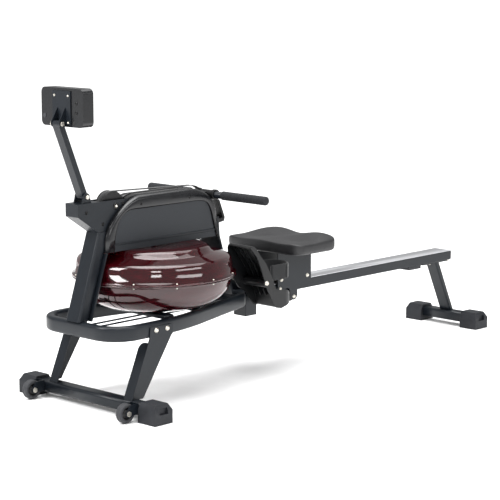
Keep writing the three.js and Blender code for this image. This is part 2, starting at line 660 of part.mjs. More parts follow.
// Handle rest: a bent plate behind the cover; the handle lies between its tip and the cover's shoulder.
const { sheet: rs, bottom: rb, reach: rr, tip: rt } = REST;
const restRoot = (z) => coverRear(z) + RUN + STRUT.thickness + GAP;
const restShape = polygon([
  [restRoot(rb), rb],
  [SHROUD.rear + rr, rb + rs],
  [SHROUD.rear + rr + rs - 2, rb + 3 * rs],
  [SHROUD.rear + rr / 2 + rs - 2, rt],
  [SHROUD.rear + rr / 2 - rs + 2, rt - 3],
  [SHROUD.rear + rr - rs, rb + 3 * rs],
  [restRoot(rb + 2 * rs), rb + 2 * rs],
]);
piece("handle_rest", extrudeY(restShape, -REST.halfWidth, REST.halfWidth), mouldedBlack);

// Rear block, rail and rear leg.
const { front: bf, length: bl, halfWidth: bw, bottom: bb, top: bt, wall: bwall } = BLOCK;
const block = box(bf, -bw, bb, bf + bl, bw, bt).subtract(
  box(bf + bwall, -bw + bwall, bb - 1, bf + bl - bwall, bw - bwall, bt + 1),
);
piece("rail_block", block, powderCoat);

const railSkinTop = RAIL.top - RAIL.cover - GAP;
const rail = box(RAIL.front, -RAIL.halfWidth, RAIL.bottom, RAIL.rear, RAIL.halfWidth, railSkinTop).subtract(
  box(RAIL.front - 1, -RAIL.halfWidth + RAIL.wall, RAIL.bottom + RAIL.wall, RAIL.rear - RAIL.wall,
    RAIL.halfWidth - RAIL.wall, railSkinTop - RAIL.wall),
);
piece("rail", rail, powderCoat);
const cover = box(RAIL.front, -RAIL.halfWidth, RAIL.top - RAIL.cover, RAIL.rear, RAIL.halfWidth, RAIL.top);
piece("rail_cover", cover, steel);

const stop = box(STOP.front, -STOP.halfWidth, RAIL.bottom - GAP - STOP.depth, STOP.front + STOP.length,
  STOP.halfWidth, RAIL.bottom - GAP);
piece("rail_stop", stop, rubber);

// The leg's top is welded under a plate that bolts to the rail.
const plateTop = RAIL.bottom - GAP;
const legTop = plateTop - REAR_PLATE.thickness;
const plateHalf = REAR_PLATE.halfWidth;
const rearPlate = box(REAR_PLATE.front, -plateHalf, legTop, REAR_PLATE.rear, plateHalf, plateTop);
const legSlice = REAR_LEG.thickness / Math.cos(rad(REAR_LEG.leanDeg));
const legBar = tube(REAR_LEG.thickness, REAR_LEG.width, REAR_LEG.radius, REAR_LEG.wall, 500)
  .translate([0, 0, -250])
  .rotate([0, -REAR_LEG.leanDeg, 0])
  .translate([REAR_LEG.frontAtTop + legSlice / 2, 0, legTop]);
const legRange = box(RAIL.front, -REAR_LEG.width, TUBE_TOP + GAP, REARMOST + 200, REAR_LEG.width, legTop + 1);
piece("rear_leg", legBar.intersect(legRange).add(rearPlate), powderCoat);

// Pedal bracket: two side plates that hold the rail's front end and the pedals' axle, joined over the block.
function pedalBracket() {
  const { sheet, top, rear } = PEDAL_BRACKET;
  const inner = RAIL.halfWidth + GAP;
  const outline = new THREE.Shape();
  outline.moveTo(BLOCK.front + 4, BLOCK.top + GAP);
  outline.lineTo(RAIL.front + GAP, BLOCK.top + GAP);
  outline.lineTo(RAIL.front + GAP, RAIL.bottom + 4);
  outline.lineTo(rear, RAIL.bottom + 4);
  outline.lineTo(rear, RAIL.top - 6);
  outline.lineTo(PEDAL_AXLE.x + 30, top - 6);
  outline.absarc(PEDAL_AXLE.x, PEDAL_AXLE.z, top - PEDAL_AXLE.z, Math.PI * 0.4, Math.PI * 1.15);
  const plates = extrudeY(outline, -inner - sheet, inner + sheet).subtract(extrudeY(outline, -inner, inner));
  const floorBottom = BLOCK.top + GAP;
  const floor = box(BLOCK.front + 6, -inner - 1, floorBottom, RAIL.front - GAP, inner + 1, floorBottom + sheet);
  const hole = rodY(PEDAL_AXLE.radius + GAP, -100, 100, PEDAL_AXLE.x, PEDAL_AXLE.z);
  return plates.add(floor).subtract(hole);
}
piece("pedal_bracket", pedalBracket(), powderCoat);

const pedalReach = PEDAL.inner + PEDAL.width;
const axleEnd = pedalReach + 4;
const pedalAxle = rodY(PEDAL_AXLE.radius, -axleEnd, axleEnd)
  .add(rodY(PEDAL_AXLE.radius + 5, pedalReach + RUN, axleEnd, 0, 0, 6))
  .add(rodY(PEDAL_AXLE.radius + 5, -axleEnd, -pedalReach - RUN, 0, 0, 6));
piece("pedal_axle", pedalAxle, steel, { x: PEDAL_AXLE.x, z: PEDAL_AXLE.z });

// Footrests: a curved tread between two side rims, open underneath, with a cup for the heel.
// The tread's face, from the heel up over the toe, drawn a given distance under the surface.
function tread(inset) {
  const s = new THREE.Shape();
  s.moveTo(709 - inset, 246);
  s.splineThru([v2(679 - inset, 308), v2(666 - inset, 338), v2(638 - inset, 384)]);
  s.lineTo(613 - inset * 0.8, 412 - inset * 0.6);
  s.splineThru([v2(593 - inset * 0.7, 437 - inset * 0.7), v2(578 - inset * 0.2, 447 - inset), v2(567, 443 - inset)]);
  return s;
}

// The side walls: shallow on the outside, and deep on the inside against the rail.
function rim(lower) {
  const s = tread(0);
  for (const [x, z] of lower) s.lineTo(x, z);
  s.quadraticCurveTo(704, 226, 709, 246);
  return s;
}
const outerEdge = [[572, 436], [598, 409], [614, 376], [626, 343], [645, 300], [687, 234]];
const innerEdge = [[564, 434], [565, 410], [570, 377], [587, 334], [612, 300], [644, 281], [655, 262], [687, 232]];

function underTread(inset) {
  const s = tread(inset);
  s.lineTo(500, 443 - inset);
  s.lineTo(500, 100);
  s.lineTo(709 - inset, 100);
  return extrudeY(s, PEDAL.inner + PEDAL.wall, PEDAL.inner + PEDAL.width - PEDAL.wall, 3);
}

function pedal() {
  const { inner, width, wall, skin } = PEDAL;
  const outer = inner + width;
  const middle = inner + width / 2;
  const hub = rodY(PEDAL_AXLE.radius + 6, inner, outer, PEDAL_AXLE.x, PEDAL_AXLE.z);
  const bore = rodY(PEDAL_AXLE.radius + RUN, inner - 1, outer + 1, PEDAL_AXLE.x, PEDAL_AXLE.z);
  const side = polygon([
    [690, 236],
    [712, 228],
    [760, 240],
    [780, 262],
    [747, 284],
    [688, 292],
  ]);
  const plan = (inset) => {
    const half = width / 2 - 3 - inset;
    const s = new THREE.Shape();
    s.moveTo(650, middle - half);
    s.lineTo(780 - inset - half, middle - half);
    s.absarc(780 - inset - half, middle, half, -Math.PI / 2, Math.PI / 2);
    s.lineTo(650, middle + half);
    return s;
  };
  const cup = extrudeY(side, inner, outer).intersect(extrudeZ(plan(0), 200, 300));
  const heelRoom = extrudeZ(plan(wall + 1), PEDAL.heel, 330).intersect(rearOfTread(GAP));
  const outside = extrudeY(rim(outerEdge), inner, outer, 3);
  const inside = extrudeY(rim(innerEdge), inner, inner + wall, 3);
  const shell = outside.add(inside).subtract(underTread(skin));
  return shell.add(hub).add(cup.subtract(heelRoom)).subtract(bore);
}

// Everything on the rower's side of the tread, a given distance off it.
function rearOfTread(off) {
  const s = tread(-off);
  s.lineTo(502, 600);
  s.lineTo(900, 600);
  s.lineTo(900, 100);
  s.lineTo(735, 100);
  s.lineTo(735, 200);
  return extrudeY(s, 0, 400, 3);
}

function footStrap() {
  const { bottom, height, rear, thickness } = FOOT_STRAP;
  const middle = PEDAL.inner + PEDAL.width / 2;
  const band = (inset) => {
    const half = PEDAL.width / 2 - 2 - inset;
    const s = new THREE.Shape();
    s.moveTo(600, middle - half);
    s.lineTo(rear - 62, middle - half);
    s.bezierCurveTo(rear - 20, middle - half, rear - inset, middle - half + 16, rear - inset, middle);
    s.bezierCurveTo(rear - inset, middle + half - 16, rear - 20, middle + half, rear - 62, middle + half);
    s.lineTo(600, middle + half);
    return s;
  };
  const loop = extrudeZ(band(0), bottom, bottom + height, 8).subtract(
    extrudeZ(band(thickness), bottom - 1, bottom + height + 1, 8),
  );
  return loop.intersect(rearOfTread(GAP));
}

for (const [side, sign] of sides) {
  const flip = (made) => (sign > 0 ? made : made.mirror([0, 1, 0]));
  piece("pedal_" + side, flip(pedal()), mouldedBlack);
  piece("foot_strap_" + side, flip(footStrap()), webbing);
}

// Seat carriage: a steel channel over the rail, with rollers above and below it.
function carriage() {
  const { front, rear, halfWidth, sheet, top, waist, lobe } = CARRIAGE;
  const s = new THREE.Shape();
  const lobeHalf = 17;
  const notch = 16;
  s.moveTo(front, top);
  s.lineTo(front, waist + 8);
  s.lineTo(front + 8, waist);
  s.lineTo(LOW_ROLLER.x - lobeHalf - notch, waist);
  s.absarc(LOW_ROLLER.x - lobeHalf - notch, waist - notch, notch, Math.PI / 2, 0, true);
  s.lineTo(LOW_ROLLER.x - lobeHalf, lobe + lobeHalf);
  s.absarc(LOW_ROLLER.x, lobe + lobeHalf, lobeHalf, Math.PI, 2 * Math.PI);
  s.lineTo(LOW_ROLLER.x + lobeHalf, waist - notch);
  s.absarc(LOW_ROLLER.x + lobeHalf + notch, waist - notch, notch, Math.PI, Math.PI / 2, true);
  s.lineTo(rear - 8, waist);
  s.lineTo(rear, waist + 8);
  s.lineTo(rear, top);
  const skin = extrudeY(s, -halfWidth, halfWidth, 6);
  const room = box(front - 1, -halfWidth + sheet, lobe - 20, rear + 1, halfWidth - sheet, top - sheet);
  return skin.subtract(room);
}
piece("seat_carriage", carriage(), powderCoat);

const rollerHalf = CARRIAGE.halfWidth - CARRIAGE.sheet - RUN;
function roller(radius, axle) {
  const tyre = [16, 31];
  return turnedY(
    [
      [0, -rollerHalf],
      [axle, -rollerHalf],
      [axle, -tyre[1]],
      [radius, -tyre[1]],
      [radius, -tyre[0]],
      [axle, -tyre[0]],
      [axle, tyre[0]],
      [radius, tyre[0]],
      [radius, tyre[1]],
      [axle, tyre[1]],
      [axle, rollerHalf],
      [0, rollerHalf],
    ],
    24,
  );
}
["front", "rear"].forEach((end, i) => {
  const z = RAIL.top + GAP + TOP_ROLLER.radius;
  piece("top_roller_" + end, roller(TOP_ROLLER.radius, TOP_ROLLER.axle), rubber, { x: TOP_ROLLER.x[i], z });
});
const lowZ = RAIL.bottom - GAP - LOW_ROLLER.radius;
piece("low_roller", roller(LOW_ROLLER.radius, LOW_ROLLER.axle), rubber, { x: LOW_ROLLER.x, z: lowZ });

// Seat: a contoured shell, low at the front nose and raised in two lobes at the rear.
function seat() {
  const { front, length, halfWidth, thickness, lobe } = SEAT;
  const bottom = CARRIAGE.top + GAP;
  const plan = new THREE.Shape();
  plan.moveTo(front + 16, -halfWidth);
  plan.lineTo(front + length - 50, -halfWidth);
  plan.bezierCurveTo(front + length - 20, -halfWidth, front + length, -halfWidth * 0.7, front + length, -60);
  plan.bezierCurveTo(front + length, -30, front + length - 10, -20, front + length - 10, 0);
  plan.bezierCurveTo(front + length - 10, 20, front + length, 30, front + length, 60);
  plan.bezierCurveTo(front + length, halfWidth * 0.7, front + length - 20, halfWidth, front + length - 50, halfWidth);
  plan.lineTo(front + 16, halfWidth);
  plan.bezierCurveTo(front, halfWidth, front, halfWidth - 12, front, halfWidth - 20);
  plan.bezierCurveTo(front, 40, front - 10, 30, front - 10, 0);
  plan.bezierCurveTo(front - 10, -30, front, -40, front, -halfWidth + 20);
  plan.bezierCurveTo(front, -halfWidth + 12, front, -halfWidth, front + 16, -halfWidth);
  const flat = extrudeZ(plan, bottom, bottom + thickness + lobe, 6);
  const side = new THREE.Shape();
  side.moveTo(front - 30, bottom - 1);
  side.lineTo(front + length + 20, bottom - 1);
  side.lineTo(front + length + 20, bottom + thickness);
  side.bezierCurveTo(front + length - 5, bottom + thickness + lobe, front + length - 60,
    bottom + thickness + lobe, front + length - 100, bottom + thickness + 4);
  side.bezierCurveTo(front + 60, bottom + thickness - 8, front + 40, bottom + thickness, front - 30,
    bottom + thickness - 12);
  const across = new THREE.Shape();
  const rise = bottom + thickness;
  across.moveTo(-halfWidth - 5, bottom - 1);
  across.lineTo(halfWidth + 5, bottom - 1);
  across.lineTo(halfWidth + 5, rise - 10);
  across.bezierCurveTo(halfWidth - 20, rise + 8, 120, rise + lobe, 80, rise + lobe);
  across.bezierCurveTo(50, rise + lobe, 40, rise + lobe - 14, 0, rise + lobe - 14);
  across.bezierCurveTo(-40, rise + lobe - 14, -50, rise + lobe, -80, rise + lobe);
  across.bezierCurveTo(-120, rise + lobe, -halfWidth + 20, rise + 8, -halfWidth - 5, rise - 10);
  const lofted = flat.intersect(extrudeY(side, -halfWidth - 5, halfWidth + 5, 10));
  return lofted.intersect(extrudeX(across, front - 40, front + length + 40, 8));
}
piece("seat", seat(), mouldedBlack);

// Handle: a steel bar with two foam grips and a yoke for the strap.
const bar = rodY(HANDLE.bar, -HANDLE.halfLength + 6, HANDLE.halfLength - 6);
piece("handle_bar", bar, steel, { x: HANDLE.x, z: HANDLE.z });
for (const [side, sign] of sides) {
  const h = HANDLE.gripLength;
  const grip = rodY(HANDLE.grip, 0, h).subtract(rodY(HANDLE.bar + GAP, -1, h - 6 + GAP));
  const at = sign * (HANDLE.halfLength - h);
  piece("handle_grip_" + side, grip, foam, { x: HANDLE.x, y: at, z: HANDLE.z, yaw: sign > 0 ? 0 : Math.PI });
}
const collarStart = HANDLE.yoke - 11;
const yoke = rodY(HANDLE.collar - 3, -HANDLE.yoke, HANDLE.yoke)
  .add(rodY(HANDLE.collar, collarStart, HANDLE.yoke))
  .add(rodY(HANDLE.collar, -HANDLE.yoke, -collarStart))
  .add(box(-HANDLE.collar - 8, -STRAP.width / 2 - 3, 0, 0, STRAP.width / 2 + 3, 9))
  .subtract(rodY(HANDLE.bar + GAP, -HANDLE.yoke - 1, HANDLE.yoke + 1));
piece("handle_yoke", yoke, mouldedBlack, { x: HANDLE.x, z: HANDLE.z });

// The last stretch of strap leaves with the handle.
function strapTail() {
  const half = STRAP.thickness / 2;
  const start = v2(strapCrest.x + GAP, strapCrest.y);
  const end = v2(HANDLE.x - HANDLE.collar - 8 - GAP, HANDLE.z + 4.5);
  const bend = v2(strapCrest.x + 40, strapCrest.y);
  const s = new THREE.Shape();
  s.moveTo(start.x, start.y + half);
  s.quadraticCurveTo(bend.x, bend.y + half, end.x, end.y + half);
  s.lineTo(end.x, end.y - half);
  s.quadraticCurveTo(bend.x, bend.y - half, start.x, start.y - half);
  return extrudeY(s, -STRAP.width / 2, STRAP.width / 2, 8);
}
piece("strap_tail", strapTail(), webbing);

// Console stem: a flat bar between two eyes; it pivots in the head's clevis.
function stem() {
  const span = Math.hypot(STEM.topX - STEM.baseX, STEM.topZ - STEM.baseZ);
  const half = STEM.width / 2;
  const shank = box(-STEM.depth / 2, -half, 0, STEM.depth / 2, half, span);
  const eyes = rodY(STEM.eye, -half, half).add(rodY(STEM.eye - 2, -half, half, 0, span));
  const lowHole = rodY(4 + GAP, -half - 1, half + 1);
  const highHole = rodY(4 + GAP, -half - 1, half + 1, 0, span);
  return shank.add(eyes).subtract(lowHole).subtract(highHole);
}
const stemLean = Math.atan2(STEM.topX - STEM.baseX, STEM.topZ - STEM.baseZ);
piece("console_stem", stem(), powderCoat, { x: STEM.baseX, z: STEM.baseZ, pitch: stemLean });

function pin(reach) {
  return rodY(4, -reach, reach)
    .add(rodY(8, reach, reach + 6, 0, 0, 12))
    .add(rodY(7, -reach - 5, -reach, 0, 0, 6));
}
piece("stem_pin", pin(STEM.width / 2 + RUN + CLEVIS.sheet + GAP), steel, { x: STEM.baseX, z: STEM.baseZ });

// Console: a flat housing, its mount on the back, a screen and one button facing the rower.
const consoleMiddle = (CONSOLE.bottom + CONSOLE.top) / 2;
const height = CONSOLE.top - CONSOLE.bottom;
const mask = extrudeZ(roundedRect(height, 2 * CONSOLE.halfWidth, CONSOLE.radius), 0, CONSOLE.depth, 4);
const housing = mask.rotate([0, 90, 0]).translate([CONSOLE.back, 0, consoleMiddle]);
const face = CONSOLE.back + CONSOLE.depth;
const screenZ = consoleMiddle + 12;
const window_ = box(face - SCREEN.inset - GAP, -SCREEN.halfWidth - GAP, screenZ - SCREEN.height / 2 - GAP, face + 1,
  SCREEN.halfWidth + GAP, screenZ + SCREEN.height / 2 + GAP);
const buttonZ = CONSOLE.bottom + 17;
const pocket = rodY(BUTTON.radius + RUN, -1, 12).rotate([0, 0, -90]).translate([face - 11, 0, buttonZ]);
piece("console_housing", housing.subtract(window_).subtract(pocket), mouldedBlack);
const screen = box(face - SCREEN.inset, -SCREEN.halfWidth, screenZ - SCREEN.height / 2, face, SCREEN.halfWidth,
  screenZ + SCREEN.height / 2);
piece("console_screen", screen, glass);
const cap = rodY(BUTTON.radius, 0, 8 + BUTTON.stand).rotate([0, 0, -90]);
piece("console_button", cap, rubber, { x: face - 8, z: buttonZ });

function consoleMount() {
  const { sheet, width } = CONSOLE_MOUNT;
  const back = CONSOLE.back - GAP;
  const pad = box(back - sheet, -width, CONSOLE.bottom + 6, back, width, CONSOLE.top - 8);
  const ears = [-1, 1].map((s) => {
    const ear = new THREE.Shape();
    ear.moveTo(back, STEM.topZ - 2);
    ear.lineTo(back, STEM.topZ + 52);
    ear.lineTo(FRONTMOST, STEM.topZ + 4);
    ear.absarc(STEM.topX, STEM.topZ, STEM.topX - FRONTMOST, Math.PI, 1.6 * Math.PI);
    const y0 = s > 0 ? STEM.width / 2 + RUN : -STEM.width / 2 - RUN - sheet;
    return extrudeY(ear, y0, y0 + sheet);
  });
  return pad.add(ears[0]).add(ears[1]).subtract(rodY(4 + GAP, -width, width, STEM.topX, STEM.topZ));
}
piece("console_mount", consoleMount(), powderCoat);
piece("tilt_pin", pin(STEM.width / 2 + RUN + CONSOLE_MOUNT.sheet + GAP), steel, { x: STEM.topX, z: STEM.topZ });

export default part;
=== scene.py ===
"""Looks of a water rowing machine, built piece by piece round its CAD frame."""

import math

import bmesh
import bpy
from mathutils import Matrix, Vector


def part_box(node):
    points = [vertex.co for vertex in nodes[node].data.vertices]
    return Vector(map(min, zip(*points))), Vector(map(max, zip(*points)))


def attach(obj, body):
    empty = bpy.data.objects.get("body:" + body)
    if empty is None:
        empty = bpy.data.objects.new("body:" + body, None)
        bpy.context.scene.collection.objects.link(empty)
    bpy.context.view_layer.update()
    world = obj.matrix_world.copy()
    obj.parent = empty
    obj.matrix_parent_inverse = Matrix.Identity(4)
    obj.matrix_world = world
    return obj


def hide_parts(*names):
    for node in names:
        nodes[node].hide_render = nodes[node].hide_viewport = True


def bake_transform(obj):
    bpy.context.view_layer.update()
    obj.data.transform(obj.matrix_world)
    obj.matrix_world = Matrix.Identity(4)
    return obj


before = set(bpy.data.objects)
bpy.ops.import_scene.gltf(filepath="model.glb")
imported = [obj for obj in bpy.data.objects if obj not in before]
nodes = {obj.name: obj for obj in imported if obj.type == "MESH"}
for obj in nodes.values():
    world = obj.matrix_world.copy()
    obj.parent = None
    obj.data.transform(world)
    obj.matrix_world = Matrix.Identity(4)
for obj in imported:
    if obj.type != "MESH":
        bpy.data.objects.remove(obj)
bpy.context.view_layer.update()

# ---- camera, floor and light --------------------------------------------------------------------
# A long lens stands ahead of the machine's right side, a little above its head. The floor is a
# seamless sheet of white paper. Soft boxes, one broad overhead light and a white room light it.
lens_place = Vector((-4.3137, -3.9764, 1.3449))
lens_turn, lens_drop = math.radians(43.6), math.radians(9.3)
lens = bpy.data.cameras.new("camera")
lens.sensor_width = 36.0
lens.lens = 128.3
lens.clip_end = 60.0
camera = bpy.data.objects.new("camera", lens)
bpy.context.scene.collection.objects.link(camera)
level = math.cos(lens_drop)
gaze = Vector((math.cos(lens_turn) * level, math.sin(lens_turn) * level, -math.sin(lens_drop)))
camera.location = lens_place
camera.rotation_mode = "QUATERNION"
camera.rotation_quaternion = gaze.to_track_quat("-Z", "Y")
bpy.context.scene.camera = camera
bpy.context.scene.view_settings.view_transform = "Standard"


def linear(code):
    """An sRGB hex colour as the linear colour that a shader takes."""
    channels = [int(code[i : i + 2], 16) / 255 for i in (1, 3, 5)]
    return [c / 12.92 if c <= 0.04045 else ((c + 0.055) / 1.055) ** 2.4 for c in channels] + [1.0]


def add(tree, kind, sockets=None, feeds=None, **settings):
    """Adds one shader node with its settings, links or fills its sockets, and links what it feeds."""
    made = tree.nodes.new(kind)
    for key, value in settings.items():
        setattr(made, key, value)
    for key, value in (sockets or {}).items():
        if isinstance(value, bpy.types.NodeSocket):
            tree.links.new(value, made.inputs[key])
        else:
            made.inputs[key].default_value = value
    for key, target in (feeds or {}).items():
        tree.links.new(made.outputs[key], target)
    return made


def new_finish(name, **shader_sockets):
    """A new material, its node tree, its shader, and the object's own coordinates in metres."""
    made = bpy.data.materials.new(name)
    made.use_nodes = True
    tree = made.node_tree
    shader = tree.nodes["Principled BSDF"]
    for key, value in shader_sockets.items():
        shader.inputs[key.replace("_", " ")].default_value = value
    return made, tree, shader, add(tree, "ShaderNodeTexCoord").outputs["Object"]


# Seamless paper: matte and white, with a faint mottle of the pulp.
paper, tree, shader, place = new_finish("seamless_paper", Roughness=0.95, Specular_IOR_Level=0.1)
pulp = add(tree, "ShaderNodeTexNoise", {"Vector": place, "Scale": 1000 / 60, "Detail": 2.0}).outputs["Fac"]
pale, paler = linear("#f2f2f2"), linear("#fbfbfb")
white = shader.inputs["Base Color"]
add(tree, "ShaderNodeMix", {0: pulp, 6: pale, 7: paler}, {2: white}, data_type="RGBA")
sheet = bpy.data.meshes.new("sheet")
sheet.from_pydata([(-14, -14, 0), (14, -14, 0), (14, 14, 0), (-14, 14, 0)], [], [(0, 1, 2, 3)])
sheet.materials.append(paper)
floor = bpy.data.objects.new("floor", sheet)
floor.location.z = -0.0005
bpy.context.scene.collection.objects.link(floor)

# The room: white behind the machine, and dimmer all round so that black finishes stay deep.
room = bpy.data.worlds.new("white_room")
bpy.context.scene.world = room
room.use_nodes = True
walls = room.node_tree.nodes["Background"]
walls.inputs["Color"].default_value = linear("#ffffff")
seen = add(room.node_tree, "ShaderNodeLightPath").outputs["Is Camera Ray"]
add(
    room.node_tree,
    "ShaderNodeMapRange",
    {"Value": seen, "To Min": 0.5, "To Max": 1.1},
    {"Result": walls.inputs["Strength"]},
)


def soft_box(name, spot, aim, size, power):
    """A rectangular soft box at a spot, turned towards its aim."""
    data = bpy.data.lights.new(name, "AREA")
    data.shape = "RECTANGLE"
    data.size, data.size_y = size
    data.energy = power
    lamp = bpy.data.objects.new(name, data)
    lamp.location = spot
    lamp.rotation_mode = "QUATERNION"
    lamp.rotation_quaternion = (Vector(aim) - Vector(spot)).to_track_quat("-Z", "Y")
    bpy.context.scene.collection.objects.link(lamp)


soft_box("key_box", (-3.0, 0.6, 2.3), (-0.4, 0, 0.4), (0.9, 1.6), 85)
soft_box("fill_box", (0.2, -3.2, 2.2), (0.1, 0, 0.4), (2.6, 0.9), 55)
soft_box("front_box", (-3.6, -3.6, 2.6), (-0.3, 0, 0.4), (1.2, 1.2), 60)
soft_box("top_box", (0.2, 0.3, 3.2), (0.1, 0, 0.3), (3.4, 2.2), 60)

# One broad overhead light keeps the paper evenly white, with only a faint soft shadow on it.
overhead = bpy.data.lights.new("overhead", "SUN")
overhead.energy = 3.0
overhead.angle = math.radians(50)
ceiling = bpy.data.objects.new("overhead", overhead)
bpy.context.scene.collection.objects.link(ceiling)


def show(node, finish, edge_mm=0.0, segments=3):
    """Gives a CAD node its finish, welds its split corners and rounds its edges a little."""
    shown = nodes[node]
    shown.data.materials.clear()
    shown.data.materials.append(finish)
    for face in shown.data.polygons:
        face.use_smooth = True
    if shown.data.attributes.get("custom_normal"):
        shown.data.attributes.remove(shown.data.attributes["custom_normal"])
    weld = shown.modifiers.new("weld", "WELD")
    weld.merge_threshold = 0.00002
    if edge_mm:
        round_edges(shown, edge_mm, segments)
        shown.modifiers.new("flat_faces", "WEIGHTED_NORMAL").keep_sharp = True


def round_edges(made, width_mm, segments=3, angle=32):
    """A moulder's or filer's rounding along every sharp edge."""
    bevel = made.modifiers.new("edge", "BEVEL")
    bevel.width = width_mm / 1000.0
    bevel.segments = segments
    bevel.limit_method = "ANGLE"
    bevel.angle_limit = math.radians(angle)
    bevel.harden_normals = True
    return made


def piece(name, bm, finish, body, smooth=True):
    """Turns a mesh being built into a named piece that rides on a body, if one is given."""
    bmesh.ops.recalc_face_normals(bm, faces=bm.faces)
    mesh = bpy.data.meshes.new(name)
    bm.to_mesh(mesh)
    bm.free()
    mesh.materials.append(finish)
    for face in mesh.polygons:
        face.use_smooth = smooth
    made = bpy.data.objects.new(name, mesh)
    bpy.context.scene.collection.objects.link(made)
    if body:
        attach(made, body)
    return made


def placed(bm, spot, turn=None):
    """Moves a mesh being built to a spot in metres, turned first if asked."""
    matrix = Matrix.Translation(Vector(spot))
    if turn is not None:
        matrix = matrix @ turn
    bmesh.ops.transform(bm, matrix=matrix, verts=bm.verts)
    return bm


def lofted(rings, closed=True, caps=True, joined=False):
    """Skins rings of points in millimetres, all of one length, one after another."""
    bm = bmesh.new()
    rows = [[bm.verts.new((x / 1000, y / 1000, z / 1000)) for x, y, z in ring] for ring in rings]
    pairs = list(zip(rows, rows[1:])) + ([(rows[-1], rows[0])] if joined else [])
    count = len(rows[0])
    for here, there in pairs:
        for i in range(count if closed else count - 1):
            j = (i + 1) % count
            bm.faces.new((here[i], here[j], there[j], there[i]))
    if caps and closed and not joined:
        bm.faces.new(rows[0][::-1])
        bm.faces.new(rows[-1])
    return bm


def swept(outline, y0, y1):
    """A side view outline of (x, z) in millimetres, given width between two y values."""
    return lofted([[(x, y, z) for x, z in outline] for y in (y0, y1)])


# ---- cross tubes and foot caps ------------------------------------------------------------------
# Two steel tubes cross under the ends of the machine. They are powder coated and pushed into
# chamfered end caps, moulded in black polypropylene, that stand flat on the floor.
#
# Polyester powder coat, baked on: near black with a cold cast, a low sheen and a fine orange peel.
powder_coat, tree, shader, place = new_finish("polyester_powder_coat", IOR=1.5, Specular_IOR_Level=0.3)
peel = add(tree, "ShaderNodeTexNoise", {"Vector": place, "Scale": 1000 / 1.8, "Detail": 2.0}).outputs["Fac"]
cloud = add(tree, "ShaderNodeTexNoise", {"Vector": place, "Scale": 1000 / 90, "Detail": 2.0}).outputs["Fac"]
colour, rough, normal = (shader.inputs[k] for k in ("Base Color", "Roughness", "Normal"))
mixed = {0: cloud, 6: linear("#0c1015"), 7: linear("#151a20")}
add(tree, "ShaderNodeMix", mixed, {2: colour}, data_type="RGBA")
add(tree, "ShaderNodeMapRange", {"Value": peel, "To Min": 0.3, "To Max": 0.42}, {"Result": rough})
add(tree, "ShaderNodeBump", {"Height": peel, "Distance": 0.00005, "Strength": 0.3}, {"Normal": normal})

# Moulded polypropylene off a spark-eroded tool: black going to grey on its worn high spots, pitted.
cap_plastic, tree, shader, place = new_finish("moulded_polypropylene", IOR=1.49, Specular_IOR_Level=0.3)
pits = add(tree, "ShaderNodeTexNoise", {"Vector": place, "Scale": 1000 / 1.4, "Detail": 4.0}).outputs["Fac"]
wear = add(tree, "ShaderNodeTexNoise", {"Vector": place, "Scale": 1000 / 24, "Detail": 5.0}).outputs["Fac"]
colour, rough, normal = (shader.inputs[k] for k in ("Base Color", "Roughness", "Normal"))
mixed = {0: wear, 6: linear("#131417"), 7: linear("#23252a")}
add(tree, "ShaderNodeMix", mixed, {2: colour}, data_type="RGBA")
add(tree, "ShaderNodeMapRange", {"Value": pits, "To Min": 0.46, "To Max": 0.66}, {"Result": rough})
add(tree, "ShaderNodeBump", {"Height": pits, "Distance": 0.00014, "Strength": 0.5}, {"Normal": normal})

for end in ("front", "rear"):
    show(end + "_cross_tube", powder_coat)
    for side in ("left", "right"):
        show(f"{end}_foot_cap_{side}", cap_plastic, 3.0)

# ---- tray ---------------------------------------------------------------------------------------
# One length of oblong steel tube, bent cold into a closed loop and butt welded at the nose. Two
# crossbars carry the tank, and two thin tie rods stop the loop from spreading.
tray_low, tray_high = (1000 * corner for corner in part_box("tray"))
tube_width, tube_corner = 28.0, 9.5
tray_corner, flare_radius, nose_radius = 95.0, 800.0, 64.0
flare_x, nose_x = tray_low.x + 160, tray_high.x - nose_radius


def arc(centre, radius, start, stop, steps):
    """Points along an arc with the way each one faces; angles in radians."""
    turns = [start + (stop - start) * i / steps for i in range(steps + 1)]
    return [(Vector((centre[0] + radius * math.cos(t), centre[1] + radius * math.sin(t))), t) for t in turns]


def tray_route():
    """The loop's centre line seen from above, anticlockwise from the front right corner."""
    mid = tube_width / 2
    flare_y = tray_high.y - flare_radius
    run = Vector((nose_x - flare_x, -flare_y))
    meet = math.atan2(run.y, run.x) + math.acos((flare_radius - nose_radius) / run.length)
    corner_x, corner_y = tray_low.x + tray_corner, tray_high.y - tray_corner
    route = arc((corner_x, -corner_y), tray_corner - mid, math.pi, 1.5 * math.pi, 14)
    route += arc((flare_x, -flare_y), flare_radius - mid, 1.5 * math.pi, 2 * math.pi - meet, 14)
    route += arc((nose_x, 0), nose_radius - mid, -meet, meet, 20)
    route += arc((flare_x, flare_y), flare_radius - mid, meet, 0.5 * math.pi, 14)
    route += arc((corner_x, corner_y), tray_corner - mid, 0.5 * math.pi, math.pi, 14)
    return route


def oblong(width, height, radius, steps=5):
    """A rounded oblong about the origin, as (across, up) points."""
    w, h = width / 2 - radius, height / 2 - radius
    corners = [(w, -h, -90), (w, h, 0), (-w, h, 90), (-w, -h, 180)]
    points = []
    for u, v, start in corners:
        for i in range(steps + 1):
            t = math.radians(start + 90 * i / steps)
            points.append((u + radius * math.cos(t), v + radius * math.sin(t)))
    return points


tube_section = oblong(tube_width, 46, tube_corner)
loop_rings = []
for spot, facing in tray_route():
    out = Vector((math.cos(facing), math.sin(facing)))
    loop_rings.append([(*(spot + u * out), 252 + v) for u, v in tube_section])
tray_loop = piece("tray_loop", lofted(loop_rings, joined=True), powder_coat, "frame")
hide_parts("tray")

